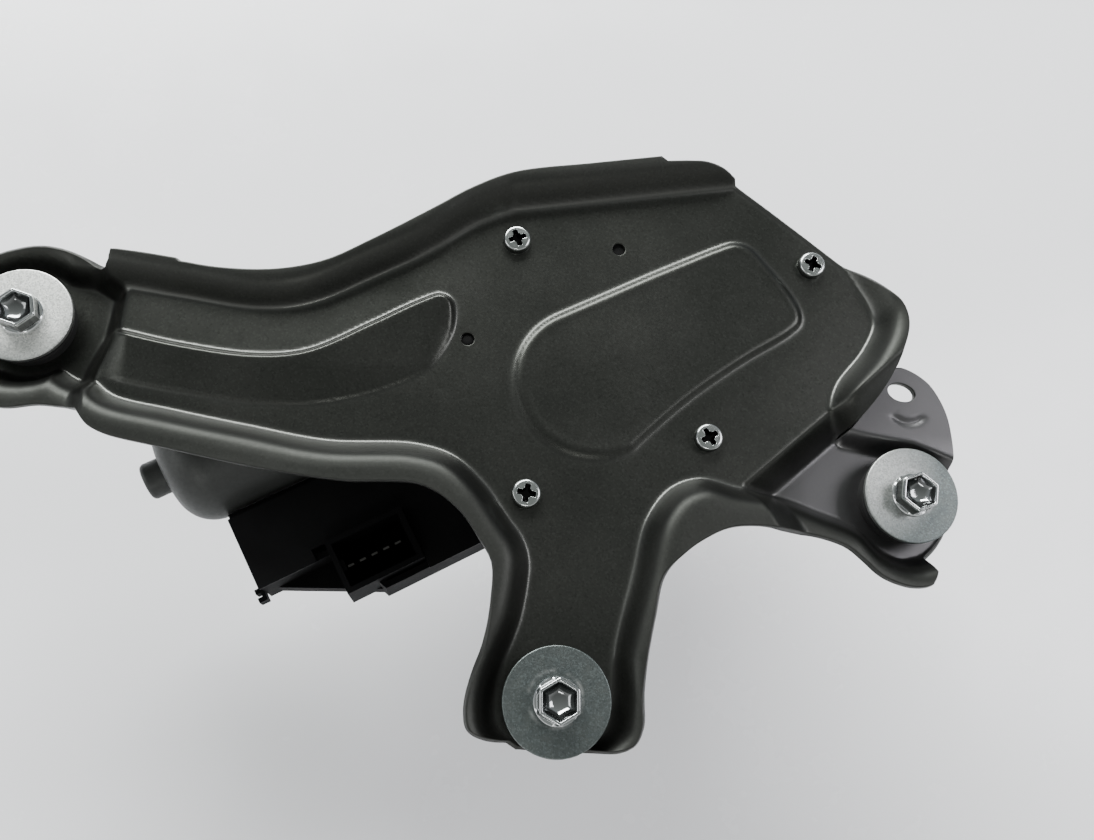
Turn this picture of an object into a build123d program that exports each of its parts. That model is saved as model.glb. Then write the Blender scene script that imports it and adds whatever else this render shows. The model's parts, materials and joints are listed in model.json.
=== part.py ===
from build123d import *
from math import acos, atan, atan2, cos, pi, radians, sin, sqrt, tan
import os

# Tailgate wiper unit: a pressed steel bracket that is also the lid of a die-cast gear
# housing, a DC motor with a worm drive, a crank linkage and an oscillating output spindle.
# Millimetres. Plan positions are counted from the press tool's datum point, with Z = 0 on
# the outer face of the bracket. Every node is moved to the row frame as it is written.

# ---------------------------------------------------------------- driving dimensions
sheet = 2.0                       # bracket sheet thickness
flange_rise = 8.0                 # height of the stiffening flange above the floor
step_drop = 8.3                   # right ear floor below the main floor
arm_pitch = 8.0                   # downward slope of the left arm, degrees
arm_bend_x = -28.0                # line where the arm starts to slope
arm_end = -90.5                   # the arm's end, counted along it from the bend line
left_ear_z = -21.0                # left ear floor
wing_z = -2.5                     # small raised wing beside the right ear
pad_rise = 2.6                    # domed pad over the wheel and the linkage
rib_rise = 4.2                    # stiffening rib along the arm

spindle_xy = (57.0, 36.0)         # output spindle axis
seat_z = -72.0                    # middle of the spindle's cylindrical arm seat
wheel_xy = (12.2, 10.8)           # worm wheel axis

motor_z = -30.0                   # height of the motor axis
motor_heading = 27.5              # motor axis direction in plan, degrees from +X
motor_start = (-107.8, -12.2)     # station 0 on the motor axis
mesh_station = 117.0              # station where the worm meets the wheel
can_r = 18.5
can_front = 2.5
can_rear = 60.0
can_wall = 1.8

module = 1.0                      # worm drive, axial module
wheel_teeth = 60
worm_pitch_r = 5.0
wheel_pitch_r = module * wheel_teeth / 2
worm_pitch = pi * module

gear_module = 1.25                # sector gear and pinion
pinion_teeth = 15
sector_teeth = 30                 # teeth on a full circle of the sector
pinion_r = gear_module * pinion_teeth / 2
sector_r = gear_module * sector_teeth / 2
crank_r = 12.0
link_len = pinion_r + sector_r    # spindle to sector pin
rod_z = (-15.5, -8.5)             # sector and rod, bottom and top
bar_top = -11.5                   # the rod's bar is thinner than its sector
link_z = (-7.9, -5.6)             # holder link

ears = {                          # hole centre and floor height of each ear
    "bottom": (1.5, -73.5, 0.0),
    "right": (102.0, -18.3, -step_drop),
    "left": (-144.2, 29.1, left_ear_z),
}
washer_r = 13.5
washer_t = 1.6
washer_top = 8.3                  # washer top above its ear floor
hole_r = 7.5                      # grommet hole in each ear
bolt_r = 3.0                      # M6 shank
bolt_waist_r = 2.7                # plain shank above the rolled thread
bolt_len = 30.0                   # shank length under the head
collar_foot = 8.5                 # collar foot's underside, below its ear floor
bolt_flats = 10.0
bolt_head = 5.5

screws = [(-8.7, 52.6), (77.6, 49.2), (44.4, -3.9), (-5.7, -20.7)]
screw_head_r = 3.85
screw_r = 2.0
screw_len = 12.0

# ---------------------------------------------------------------- linkage, solved once
# The crank and the rod are in line at both ends of the stroke. The unit is parked at the
# outer one, where the rod reaches furthest from the wheel.
span_x = spindle_xy[0] - wheel_xy[0]
span_y = spindle_xy[1] - wheel_xy[1]
span = sqrt(span_x**2 + span_y**2)
rod_len = sqrt(span**2 - link_len**2)


def link_angle(reach):
    """Angle at the spindle between the wheel and the sector pin, for a pin at this reach."""
    return acos((span**2 + link_len**2 - reach**2) / (2 * span * link_len))


to_wheel = atan2(-span_y, -span_x)
parked_link = to_wheel - link_angle(rod_len + crank_r) + 2 * pi
turned_link = to_wheel - link_angle(rod_len - crank_r) + 2 * pi


def pin_at(angle):
    """Sector pin's plan position for a link angle."""
    return (spindle_xy[0] + link_len * cos(angle), spindle_xy[1] + link_len * sin(angle))


def heading(start, end):
    """Plan direction from start to end, radians."""
    return atan2(end[1] - start[1], end[0] - start[0])


sector_xy = pin_at(parked_link)
crank_angle = heading(wheel_xy, sector_xy)
crank_xy = (wheel_xy[0] + crank_r * cos(crank_angle), wheel_xy[1] + crank_r * sin(crank_angle))
# Last tooth of the parked sector: the farthest point that the moving linkage reaches.
last_tooth = heading(sector_xy, spindle_xy) + radians(64)
sector_end = (sector_xy[0] + (sector_r - 1.5) * cos(last_tooth),
              sector_xy[1] + (sector_r - 1.5) * sin(last_tooth))

# ---------------------------------------------------------------- frames
to_row = Pos(-spindle_xy[0], -spindle_xy[1], -seat_z)
course = radians(motor_heading)
# Along the motor: local X points sideways to the connector box, local Y down, local Z along.
motor = Plane(
    origin=(*motor_start, motor_z),
    x_dir=(sin(course), -cos(course), 0),
    z_dir=(cos(course), sin(course), 0),
)
pitch = radians(arm_pitch)
arm = Plane(origin=(arm_bend_x, 0, 0), x_dir=(cos(pitch), 0, sin(pitch)),
            z_dir=(-sin(pitch), 0, cos(pitch)))


# ---------------------------------------------------------------- helpers
def disc(centre, r, bottom, top):
    """Upright cylinder between two heights."""
    return Pos(centre[0], centre[1], (bottom + top) / 2) * Cylinder(r, top - bottom)


def tube(centre, r_out, r_in, bottom, top):
    """Upright tube between two heights."""
    return disc(centre, r_out, bottom, top) - disc(centre, r_in, bottom - 1, top + 1)


def bar(r, start, end):
    """Cylinder on the motor axis between two stations."""
    return motor * Pos(0, 0, (start + end) / 2) * Cylinder(r, end - start)


def sleeve(r_out, r_in, start, end):
    """Tube on the motor axis between two stations."""
    return bar(r_out, start, end) - bar(r_in, start - 1, end + 1)


def motor_box(sides, downs, stations):
    """Box in the motor frame from three (low, high) pairs: sideways, down, along."""
    spans = (sides, downs, stations)
    middle = [(low + high) / 2 for low, high in spans]
    return motor * Pos(*middle) * Box(*[high - low for low, high in spans])


def slab(outline, bottom, top):
    """Upright prism on a closed outline: a list of plan points, or a ready face."""
    if isinstance(outline, list):
        outline = make_face(Polyline(*outline, close=True))
    return extrude(Pos(0, 0, bottom) * outline, top - bottom)


def rounded(points, radius):
    """Closed face on plan points with every corner rounded."""
    return make_face(FilletPolyline(*points, radius=radius, close=True))


def hull(circles):
    """Face around a set of circles, each (x, y, r)."""
    edges = [edge for x, y, r in circles for edge in (Pos(x, y) * Circle(r)).edges()]
    return make_hull(edges)


def thick_section(line, t):
    """Closed outline of a bent strip: the line is its upper face, with t below it."""
    lower = []
    for i, point in enumerate(line):
        before = line[max(i - 1, 0)]
        after = line[min(i + 1, len(line) - 1)]
        legs = [(point[0] - before[0], point[1] - before[1]),
                (after[0] - point[0], after[1] - point[1])]
        normals = []
        for dx, dy in legs:
            size = sqrt(dx * dx + dy * dy)
            if size > 0:
                normals.append((dy / size, -dx / size))
        nx = sum(n[0] for n in normals) / len(normals)
        ny = sum(n[1] for n in normals) / len(normals)
        mitre = t / (nx * nx + ny * ny)
        lower.append((point[0] + nx * mitre, point[1] + ny * mitre))
    return line + lower[::-1]


flange_line = [(-1.2, 0), (0, 0), (3.0, 4.9), (4.6, 6.8), (6.4, 7.7), (8.4, flange_rise)]


def flange(points, radius, z=0.0, line=flange_line):
    """Stiffening flange along a crease. The outward side is on the left of the path."""
    path = FilletPolyline(*[(x, y, z) for x, y in points], radius=radius)
    tangent = path % 0
    section = Plane(origin=path @ 0, x_dir=(-tangent.Y, tangent.X, 0), z_dir=tangent)
    return sweep(section * make_face(Polyline(*thick_section(line, sheet), close=True)), path)


def gear_tooth(teeth, mod, slack):
    """Half-angle of an involute tooth at a radius, as a function; slack is per gear, in mm."""
    base = mod * teeth / 2 * cos(radians(20))
    at_pitch = (pi * mod / 2 - slack) / (mod * teeth) + tan(radians(20)) - radians(20)

    def half_angle(r):
        if r <= base:
            return at_pitch
        roll = sqrt((r / base) ** 2 - 1)
        return at_pitch - (roll - atan(roll))

    return half_angle


def gear_face(teeth, mod, first, centres, root_r, tip_r, slack=0.12):
    """Teeth at the given pitch numbers, with number 0 centred on direction `first`."""
    half_angle = gear_tooth(teeth, mod, slack)
    steps = [root_r - 0.6, root_r] + [root_r + (tip_r - root_r) * k / 4 for k in (1, 2, 3, 4)]
    faces = []
    for n in centres:
        middle = first + 2 * pi * n / teeth
        right = [(r * cos(middle - half_angle(r)), r * sin(middle - half_angle(r))) for r in steps]
        left = [(r * cos(middle + half_angle(r)), r * sin(middle + half_angle(r))) for r in steps]
        faces.append(make_face(Polyline(*right, *left[::-1], close=True)))
    return faces


os.makedirs("parts", exist_ok=True)


def write(name, shape):
    """Move one node to the row frame and write it."""
    solids = [solid for item in (shape if isinstance(shape, list) else [shape])
              for solid in item.solids()]
    placed = [to_row * solid for solid in solids]
    result = placed[0] if len(placed) == 1 else Compound(children=placed)
    result.label = name
    export_step(result, f"parts/{name}.step")
    print(f"{name:24s} solids {len(placed):3d}  volume {sum(s.volume for s in placed):9.1f}")


# ---------------------------------------------------------------- bracket
main_floor = [(-28, 51.1), (-9.4, 62.1), (56.3, 73.6), (87.5, 48.9), (94.8, 35.8),
              (95.3, 31.7), (91.1, 23.3), (81.8, 12.4), (80.2, 5.1), (53.1, -17.4),
              (41.7, -15.3), (33.3, -18.3), (26.7, -26.7), (22.5, -41.7), (18.3, -56.7),
              (16.9, -70), (16.9, -80), (9, -86), (-8, -84.5), (-13.8, -79), (-13.6, -68),
              (-8.9, -57), (-5, -38.3), (-6.7, -32.5), (-16.7, -18.3), (-25, -10.8), (-28, -9.4)]
# Arm outlines are counted in the arm's own plane, from the bend line.
arm_floor = [(0.4, 51.2), (-20.5, 40.5), (-37.7, 32.9), (-51.6, 31.6), (-72.9, 35.3),
             (-90.5, 38.2), (-90.5, 6), (-72.9, 2.3), (-51.6, -2.3), (-30.8, -6.4),
             (-7, -7.5), (0.4, -9.8)]
step_foot = 7.5                   # plan width of the step down to the right ear
right_floor = [(57.8, -23.1), (84.9, -0.6), (92, -3), (104, -3.5), (113, -6.5), (116, -12),
               (116.5, -24), (111, -32), (104, -35.2), (97, -34.5), (88.7, -28), (65.5, -20)]
wing = [(86, 1.5), (101, 17), (103.8, 20.1), (111.4, 15.9), (116.4, 7.5), (117.7, -1),
        (116.4, -8), (105, -3.5), (92, -1.5)]
wing_shoulder = [(86, 1), (92, -0.6), (105, -2.6), (116.6, -7.2), (116, -10), (104, -5.6),
                 (91, -3.4), (85, -2)]
wing_slot = (103.5, 12.3)
locating_hole = (-22.0, 22.5)
dowel_hole = (20.8, 51.8)
dowel_r = 1.7
pad_outline = [(-9.8, 3), (1, -12), (23, -9.5), (75.3, 29.8), (75.3, 36.5), (58.5, 56.5),
               (50.5, 56.5), (-7.6, 24)]
pad_corners = [14, 14, 16, 5, 4, 4, 5, 14]
rib_outline = [(-89.5, 10.6), (-46, 3.8), (-30, 4.2), (-16, 8), (-4.5, 14), (-0.2, 22.5),
               (0.8, 31), (-0.8, 35.2), (-7, 33.9), (-37.7, 19.0), (-51.6, 18.0), (-89.5, 25.4)]


def raised(base, height, taper):
    """Pressed-up pad with a hollow underside, as (metal to add, recess to cut).
    The base's outline runs anticlockwise, so that the taper leans the right way."""
    inner = offset(base, amount=-sheet, kind=Kind.INTERSECTION)
    recess = extrude(Pos(0, 0, -sheet) * inner, height, taper=taper)
    return extrude(base, height, taper=taper), recess


def ear_rim():
    """Flange around the left ear, from its lower side round the tip to the upper side."""
    crease = [(-121.5, 10.8), (-161.3, 12.8), (-161.3, 45.4), (-143, 45.4), (-127, 38.5)]
    return flange(crease, [15, 15, 13], left_ear_z)


def arm_end_step():
    """Sloping web from the arm's end down to the left ear floor."""
    end = arm.from_local_coords((arm_end, 0, 0))
    side = [(end.X + 0.5, end.Z), (-124.5, left_ear_z), (-124.5, left_ear_z - sheet),
            (end.X + 0.5, end.Z - sheet)]
    web = Plane(origin=(0, 38.0, 0), x_dir=(1, 0, 0), z_dir=(0, -1, 0))
    return extrude(web * make_face(Polyline(*side, close=True)), 32)


def bracket():
    """The pressed bracket, which is also the gear housing's lid."""
    metal = slab(main_floor, -sheet, 0)
    metal += arm * slab(arm_floor, -sheet, 0)
    metal += slab(right_floor, -step_drop - sheet, -step_drop)
    metal += slab(wing, wing_z - sheet, wing_z)
    metal += slab(wing_shoulder, -step_drop - sheet, wing_z)
    metal += slab(rounded([(-121.5, 11.4), (-160.7, 13.4), (-160.7, 44.8), (-143, 44.8),
                           (-123.5, 37)], [0.4, 14.4, 14.4, 13, 0.4]),
                  left_ear_z - sheet, left_ear_z)
    metal += arm_end_step()
    # Step down to the right ear: a slanted strip along the crest line.
    crest = Vector(80.2, 5.1, 0) - Vector(53.1, -17.4, 0)
    ahead = crest.normalized()
    strip = Plane(origin=(80.2, 5.1, 0), x_dir=(ahead.Y, -ahead.X, 0), z_dir=-ahead)
    strip_line = [(-1.5, 0), (0, 0), (step_foot, -step_drop), (step_foot + 2, -step_drop)]
    metal += extrude(strip * make_face(Polyline(*thick_section(strip_line, sheet), close=True)),
                     crest.length)
    # Flanges, each run with its outward side on the left.
    metal += flange([(-30, 50.0), (-9.4, 62.1), (56.3, 73.6)], 16)
    metal += flange([(87.5, 48.9), (95.6, 33.8), (91.1, 23.3), (81.8, 12.4), (80.4, 5.6)],
                    [7, 12, 6])
    metal += flange([(107, -34.4), (101, -35.6), (94, -33), (87, -27), (64, -19.6)],
                    [8, 8, 14], -step_drop)
    metal += flange([(62, -19.6), (52, -17.3), (38.5, -14.0), (28, -22), (18.3, -56.7),
                     (16.9, -84)], [8, 9, 14, 22])
    metal += flange([(-13.6, -83), (-13.6, -68), (-8.4, -56), (-4.0, -36), (-18.5, -11.5),
                     (-36, -7.4)], [10, 10, 12, 18])
    metal += arm * flange([(-90.5, 38.2), (-72.9, 35.3), (-49, 31), (-37, 32.6), (2, 52.7)],
                          [20, 16, 16])
    metal += arm * flange([(-5, -7.6), (-30.8, -6.4), (-90.5, 6)], 60)
    metal += ear_rim()
    pad, pad_recess = raised(rounded(pad_outline, pad_corners), pad_rise, 30)
    metal += pad
    metal -= pad_recess
    rib_base = make_face(Polyline(*rib_outline, close=True))
    hollow_corners = [v for v in rib_base.vertices() if -52 < v.X < -37 and v.Y > 15]
    rib, rib_recess = raised(fillet(hollow_corners, 14), rib_rise, 40)
    metal += arm * rib
    metal -= arm * rib_recess
    for x, y, z in ears.values():
        metal -= disc((x, y), hole_r, z - 5, z + 3)
    for place in screws:
        metal -= disc(place, screw_r + 0.3, -5, 5)
    metal -= disc(locating_hole, 1.75, -5, 5)
    metal -= disc(dowel_hole, dowel_r + 0.1, -5, 5)
    slot = Pos(*wing_slot, 0) * Rot(0, 0, 20) * SlotOverall(6.4, 5.0)
    metal -= extrude(Pos(0, 0, -10) * slot, 14)
    return metal


# ---------------------------------------------------------------- screws and ear hardware
def cross_recess():
    """Cross drive recess, point down, with its mouth at Z = 0."""
    blade = Box(4.2, 1.1, 2.0) + Box(1.1, 4.2, 2.0)
    return Pos(0, 0, -0.6) * blade


def pan_screw(length):
    """M4 pan head screw with a cross recess, standing on Z = 0."""
    head = Pos(0, 0, 1.3) * Cylinder(screw_head_r, 2.6)
    head = fillet(head.edges().group_by(Axis.Z)[-1], 1.5)
    shank = Pos(0, 0, -length / 2) * Cylinder(screw_r, length)
    return head - Pos(0, 0, 2.7) * cross_recess() + shank


def lid_screws():
    return [Pos(x, y, 0) * Rot(0, 0, 20 + 50 * n) * pan_screw(screw_len)
            for n, (x, y) in enumerate(screws)]


def grommet(x, y, z):
    """Grooved rubber bush gripping the edge of an ear hole."""
    upper = z + washer_top - washer_t
    body = tube((x, y), 12.2, 4.6, z, upper) + tube((x, y), hole_r, 4.6, z - sheet, z)
    body += tube((x, y), 11.5, 4.6, z - collar_foot + 1.5, z - sheet)
    rings = tube((x, y), 13, 11.2, z + 2.7, z + 3.9)
    return body - rings


def collar(x, y, z):
    """Steel spacer tube with a foot flange, inside the grommet."""
    foot = z - collar_foot
    return tube((x, y), 4.6, bolt_r + 0.25, foot, z + washer_top - washer_t) + tube(
        (x, y), 9.5, bolt_r + 0.25, foot, foot + 1.5)


def washer(x, y, z):
    plate = tube((x, y), washer_r, bolt_r + 0.25, z + washer_top - washer_t, z + washer_top)
    rim = plate.edges().filter_by(GeomType.CIRCLE).group_by(SortBy.RADIUS)[-1]
    return fillet(rim, 0.35)


def bolt(x, y, z, turn):
    """M6 hexagon bolt with a dished head, standing on its washer."""
    under = z + washer_top
    hexagon = RegularPolygon(bolt_flats / 2, 6, major_radius=False)
    head = Pos(x, y, under) * Rot(0, 0, turn) * extrude(hexagon, bolt_head)
    chamfer_cone = Pos(x, y, under + bolt_head - 3.5) * Cone(
        bolt_flats * 0.5774 + 4.2, bolt_flats * 0.5774 - 0.9, 9)
    head &= chamfer_cone + disc((x, y), 7, under - 1, under + bolt_head - 2.5)
    dish = Pos(x, y, under + bolt_head - 1.5) * Cone(2.2, 3.7, 3.2)
    flange_ring = disc((x, y), 6.0, under, under + 0.9)
    shank = disc((x, y), bolt_waist_r, under - bolt_len, under)
    thread = disc((x, y), bolt_r, under - bolt_len, z - collar_foot - 0.6)
    thread = chamfer(thread.edges().group_by(Axis.Z)[0], 0.6)
    return head - dish + flange_ring + shank + thread


bolt_turns = {"bottom": 30.0, "right": 20.0, "left": 42.0}


# ---------------------------------------------------------------- gear housing
worm_station = (103.0, 131.0)
tunnel_end = 143.0
housing_floor = -36.5             # inner floor under the worm wheel
housing_base = -39.5              # outer face
spindle_floor = -19.0             # raised inner floor round the spindle
boss_end = -61.0                  # lower end of the spindle boss
boss_r = 10.5
spindle_bore_r = 7.0
tunnel_r = 12.0                   # worm tunnel, outside and bore
tunnel_bore_r = 6.9
neck_r = 20.5                     # neck that carries the motor can
neck_bore_r = 17.3
neck_end = 76.0
neck_floor = 74.0
axle_root_r = 3.5                 # seat of the wheel axle in the floor
locating_r = 1.75


def gear_housing():
    """Die-cast aluminium housing with the worm tunnel, motor neck and spindle boss."""
    lugs = [(x, y, 6.0) for x, y in screws]
    swing = [(*sector_xy, 10.5), (*sector_end, 5.0)]
    body = slab(hull([(*wheel_xy, 34.5), (*spindle_xy, 19)] + swing + lugs), housing_base, -sheet)
    body += disc(spindle_xy, boss_r, boss_end, -20)
    body += disc(spindle_xy, 14.5, -44, -20)
    for k in range(6):
        rib = Pos(*spindle_xy, -47) * Rot(0, 0, 60 * k) * Pos(10, 0, 0) * Box(7, 2.4, 18)
        body += rib
    body += bar(tunnel_r, neck_end, tunnel_end)
    body += bar(neck_r, can_rear, neck_end)
    body += motor_box((-7, 9), (-10, 9), (neck_floor, 100))
    # Cavities.
    body -= disc(wheel_xy, 31.9, housing_floor, 0)
    clear = [(x, y, r - 2.5) for x, y, r in swing]
    body -= slab(hull([(*wheel_xy, 23), (*spindle_xy, 15.5)] + clear), spindle_floor, 0)
    body -= bar(tunnel_bore_r, neck_floor, tunnel_end - 1.5)
    body -= disc(wheel_xy, axle_root_r, housing_base - 1, housing_floor + 1)
    body -= disc(spindle_xy, spindle_bore_r, boss_end - 1, spindle_floor + 1)
    # Window for the brush plate's tongue.
    body -= motor_box((12, 24), (-6.2, 6.2), (63.8, 72.2))
    for x, y in screws:
        body -= disc((x, y), screw_r, -sheet - screw_len - 1, 0)
    for angle in yoke_screw_angles:
        body += yoke_lug(angle, can_rear, 70)
        body -= yoke_pilot(angle, can_rear - 1, 69)
    # The neck's bore is cut last, through the lugs as well.
    body -= bar(neck_bore_r, can_rear - 1, neck_floor)
    return body - disc(locating_hole, locating_r, -10, 0)


def locating_dowel():
    """Steel dowel through the lid."""
    return disc(dowel_hole, dowel_r, -8.0, -0.9)


def dowel_seat():
    """Blind hole that the dowel is pressed in."""
    return disc(dowel_hole, dowel_r, -9, 0)


# ---------------------------------------------------------------- motor
yoke_screw_angles = (165.0, -75.0)  # about the motor axis, from sideways towards up
yoke_screw_radius = 24.0


def around_motor(angle, radius):
    """Location on a circle about the motor axis."""
    return motor * Pos(radius * cos(radians(angle)), -radius * sin(radians(angle)), 0)


def yoke_lug(angle, start, end):
    spot = around_motor(angle, yoke_screw_radius) * Pos(0, 0, (start + end) / 2)
    root = around_motor(angle, yoke_screw_radius - 4) * Pos(0, 0, (start + end) / 2)
    web = root * Rot(0, 0, -angle) * Box(8, 9, end - start)
    return spot * Cylinder(4.5, end - start) + web


def yoke_pilot(angle, start, end):
    return around_motor(angle, yoke_screw_radius) * Pos(0, 0, (start + end) / 2) * Cylinder(
        1.75, end - start)


def motor_can():
    """Deep-drawn steel can with a domed end and a bearing boss."""
    shell = motor * Pos(0, 0, (can_front + can_rear) / 2) * fillet(
        Cylinder(can_r, can_rear - can_front).edges().group_by(Axis.Z)[0], 11.0)
    cavity = motor * Pos(0, 0, (can_front + can_rear) / 2 + 1.0) * fillet(
        Cylinder(can_r - can_wall, can_rear - can_front - 1.4).edges().group_by(Axis.Z)[0], 9.5)
    boss = motor * Pos(0, 0, 0.75) * fillet(
        Cylinder(5.4, 8.5).edges().group_by(Axis.Z)[0], 1.4)
    shell = shell - cavity - bar(can_r - can_wall, 40, can_rear + 1) + boss
    shell -= bar(4.2, -1.8, 12)
    for angle in yoke_screw_angles:
        shell += yoke_lug(angle, can_rear - 2.5, can_rear) - bar(can_r - can_wall, 50, 62)
        shell -= yoke_pilot(angle, can_rear - 3, can_rear + 1)
    return shell


def yoke_screws():
    """Screws that hold the can to the housing neck."""
    made = []
    for angle in yoke_screw_angles:
        spot = around_motor(angle, yoke_screw_radius)
        shank = spot * Pos(0, 0, can_rear + 3) * Cylinder(1.75, 11)
        head = spot * Pos(0, 0, can_rear - 2.5 - 1.3) * (
            Cylinder(3.4, 2.6) - Pos(0, 0, -1.0) * cross_recess())
        made.append(shank + head)
    return made


def magnets():
    """Two ferrite arc magnets against the can's wall."""
    ring = sleeve(can_r - 2.0, 13.2, 15, 49)
    made = []
    for side in (1, -1):
        keep = motor_box((-20, 20), (side * 11 - 5.5, side * 11 + 5.5), (14, 50))
        made.append(ring & keep)
    return made


shaft_r = 2.5
shaft_tail = -1.4                 # rear end, in the can's boss
shaft_tip = 138.6                 # front end, on the thrust plug


def armature_shaft():
    """Steel armature shaft with a rolled single-start worm, right-handed."""
    low, high = worm_station
    shaft = bar(shaft_r, shaft_tail, shaft_tip)
    core = bar(worm_pitch_r - 1.15 * module, low - 2, high + 2)
    turns = (high - low) / worm_pitch
    tip_r = worm_pitch_r + 0.85 * module
    root_r = worm_pitch_r - 1.35 * module
    half_tip, half_root = 0.26 * module, 1.0 * module
    profile = [(root_r, -half_root), (tip_r, -half_tip), (tip_r, half_tip), (root_r, half_root)]
    path = Helix(pitch=worm_pitch, height=turns * worm_pitch, radius=worm_pitch_r)
    thread_face = Plane.XZ * make_face(Polyline(*profile, close=True))
    thread = sweep(thread_face, path, is_frenet=True)
    # The thread is centred on the wheel's side of the shaft at the mesh station.
    whole_turns = round((mesh_station - low) / worm_pitch)
    start = mesh_station - whole_turns * worm_pitch
    return shaft + core + motor * Pos(0, 0, start) * thread


def armature_core():
    """Lamination stack with winding slots."""
    stack = Circle(12.3) - Circle(shaft_r)
    slots = 10
    for k in range(slots):
        turn = Rot(0, 0, 360 / slots * k)
        stack -= turn * Pos(9.4, 0) * Rectangle(4.2, 3.2)
        stack -= turn * Pos(12, 0) * Rectangle(2, 1.2)
    return motor * Pos(0, 0, 19) * extrude(stack, 24)


def armature_windings():
    """Copper coils: slot fill joined to the end turns on both sides."""
    coils = sleeve(11.4, 4.0, 13.6, 19) + sleeve(11.4, 4.0, 43, 49.5)
    for k in range(10):
        turn = Rot(0, 0, 36 * k)
        coils += motor * Pos(0, 0, 31) * turn * Pos(9.4, 0, 0) * Box(3.8, 2.8, 30)
    return coils


def commutator():
    """Moulded commutator with separate bar gaps."""
    body = Circle(6.2) - Circle(shaft_r)
    for k in range(10):
        body -= Rot(0, 0, 36 * k + 18) * Pos(6.1, 0) * Rectangle(1.0, 0.5)
    riser = sleeve(7.4, shaft_r, 52.5, 54.5)
    return motor * Pos(0, 0, 54.5) * extrude(body, 14) + riser


def rear_bearing():
    return sleeve(4.2, shaft_r + 0.04, -1.6, 5)


def front_bearing():
    return sleeve(6.9, shaft_r + 0.04, 80, 88)


def thrust_plug():
    """Hard plastic button that takes the worm's end thrust."""
    return bar(6.9, shaft_tip + 0.15, tunnel_end - 1.6)


# ---------------------------------------------------------------- brushes
brush_station = 66.0


def brush_holder():
    """Moulded brush plate in the neck, with a tongue to the connector box."""
    plate = sleeve(17.0, 9.0, 69.5, 72.5)
    plate += motor_box((11, 22.5), (-2.8, 5.8), (69.5, 72.0)) - bar(9.0, 60, 80)
    for side in (1, -1):
        guide = motor_box((-4.2, 4.2), (side * 12 - 4.4, side * 12 + 4.4), (61.5, 70))
        guide -= motor_box((-3.0, 3.0), (side * 12 - 5, side * 12 + 5), (63, 69))
        plate += guide
    return plate


def carbon_brushes():
    made = []
    for side in (1, -1):
        low, high = sorted((side * 6.35, side * 12.4))
        block = motor_box((-2.9, 2.9), (low, high), (63.1, 68.9))
        made.append(block - bar(6.3, 60, 72))
    return made


def brush_springs():
    """Coil springs behind the brushes, closed and simple."""
    made = []
    for side in (1, -1):
        path = Helix(pitch=1.1, height=3.3, radius=1.6)
        wire = sweep(Plane(path @ 0, z_dir=path % 0) * Circle(0.28), path, is_frenet=True)
        seat = Rot(90, 0, 0) if side < 0 else Rot(-90, 0, 0)
        made.append(motor * Pos(0, side * 12.75, brush_station) * seat * wire)
    return made


# ---------------------------------------------------------------- worm wheel and linkage
wheel_z = (-33.2, -26.8)
hub_z = (-35.6, -22.6)
axle_r = 4.0
pin_r = 3.5                       # crank pin and sector pin
pivot_gap = 0.4                   # crank pin's top to the rod's eye


def worm_wheel():
    """Moulded wheel, with a tooth space facing the worm at the mesh station."""
    towards_worm = radians(motor_heading + 90)
    first = towards_worm + pi / wheel_teeth
    root_r, tip_r = wheel_pitch_r - 1.15, wheel_pitch_r + 0.85
    faces = gear_face(wheel_teeth, module, first, range(wheel_teeth), root_r, tip_r, 0.35)
    rim = Circle(root_r) + faces
    wheel = extrude(Pos(*wheel_xy, wheel_z[0]) * rim, wheel_z[1] - wheel_z[0])
    groove = tube(wheel_xy, 26.5, 17.5, wheel_z[1] - 1.8, wheel_z[1] + 1)
    wheel = wheel - groove + disc(wheel_xy, 17.5, wheel_z[0], wheel_z[1] + 0.6)
    wheel += disc(wheel_xy, 7.6, hub_z[0], hub_z[1])
    wheel += disc(crank_xy, 6.0, wheel_z[1], wheel_z[1] + 2.0)
    wheel -= disc(wheel_xy, axle_r + 0.05, hub_z[0] - 1, hub_z[1] + 1)
    return wheel - disc(crank_xy, pin_r, wheel_z[0] - 1, wheel_z[1] + 3)


def crank_pin():
    """Steel pin pressed in the wheel. It stops short of the rod's eye, where the linkage is open."""
    return disc(crank_xy, pin_r, wheel_z[0], rod_z[0] - pivot_gap)


def wheel_axle():
    """Fixed pin that the wheel turns on, with a clip groove."""
    axle = disc(wheel_xy, axle_r, housing_floor, -18.6)
    axle += disc(wheel_xy, axle_root_r, housing_base, housing_floor)
    return axle - tube(wheel_xy, 5, 3.1, -21.3, -20.2)


def axle_clip():
    """Snap ring in the axle's groove."""
    ring = tube(wheel_xy, 6.4, 3.15, -21.2, -20.3)
    return ring - slab([(wheel_xy[0], wheel_xy[1] - 1.2), (wheel_xy[0] + 8, wheel_xy[1] - 3),
                        (wheel_xy[0] + 8, wheel_xy[1] + 3), (wheel_xy[0], wheel_xy[1] + 1.2)],
                       -22, -19)


sector_reach = range(-1, 6)       # tooth numbers, from the parked contact to the other end


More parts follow.
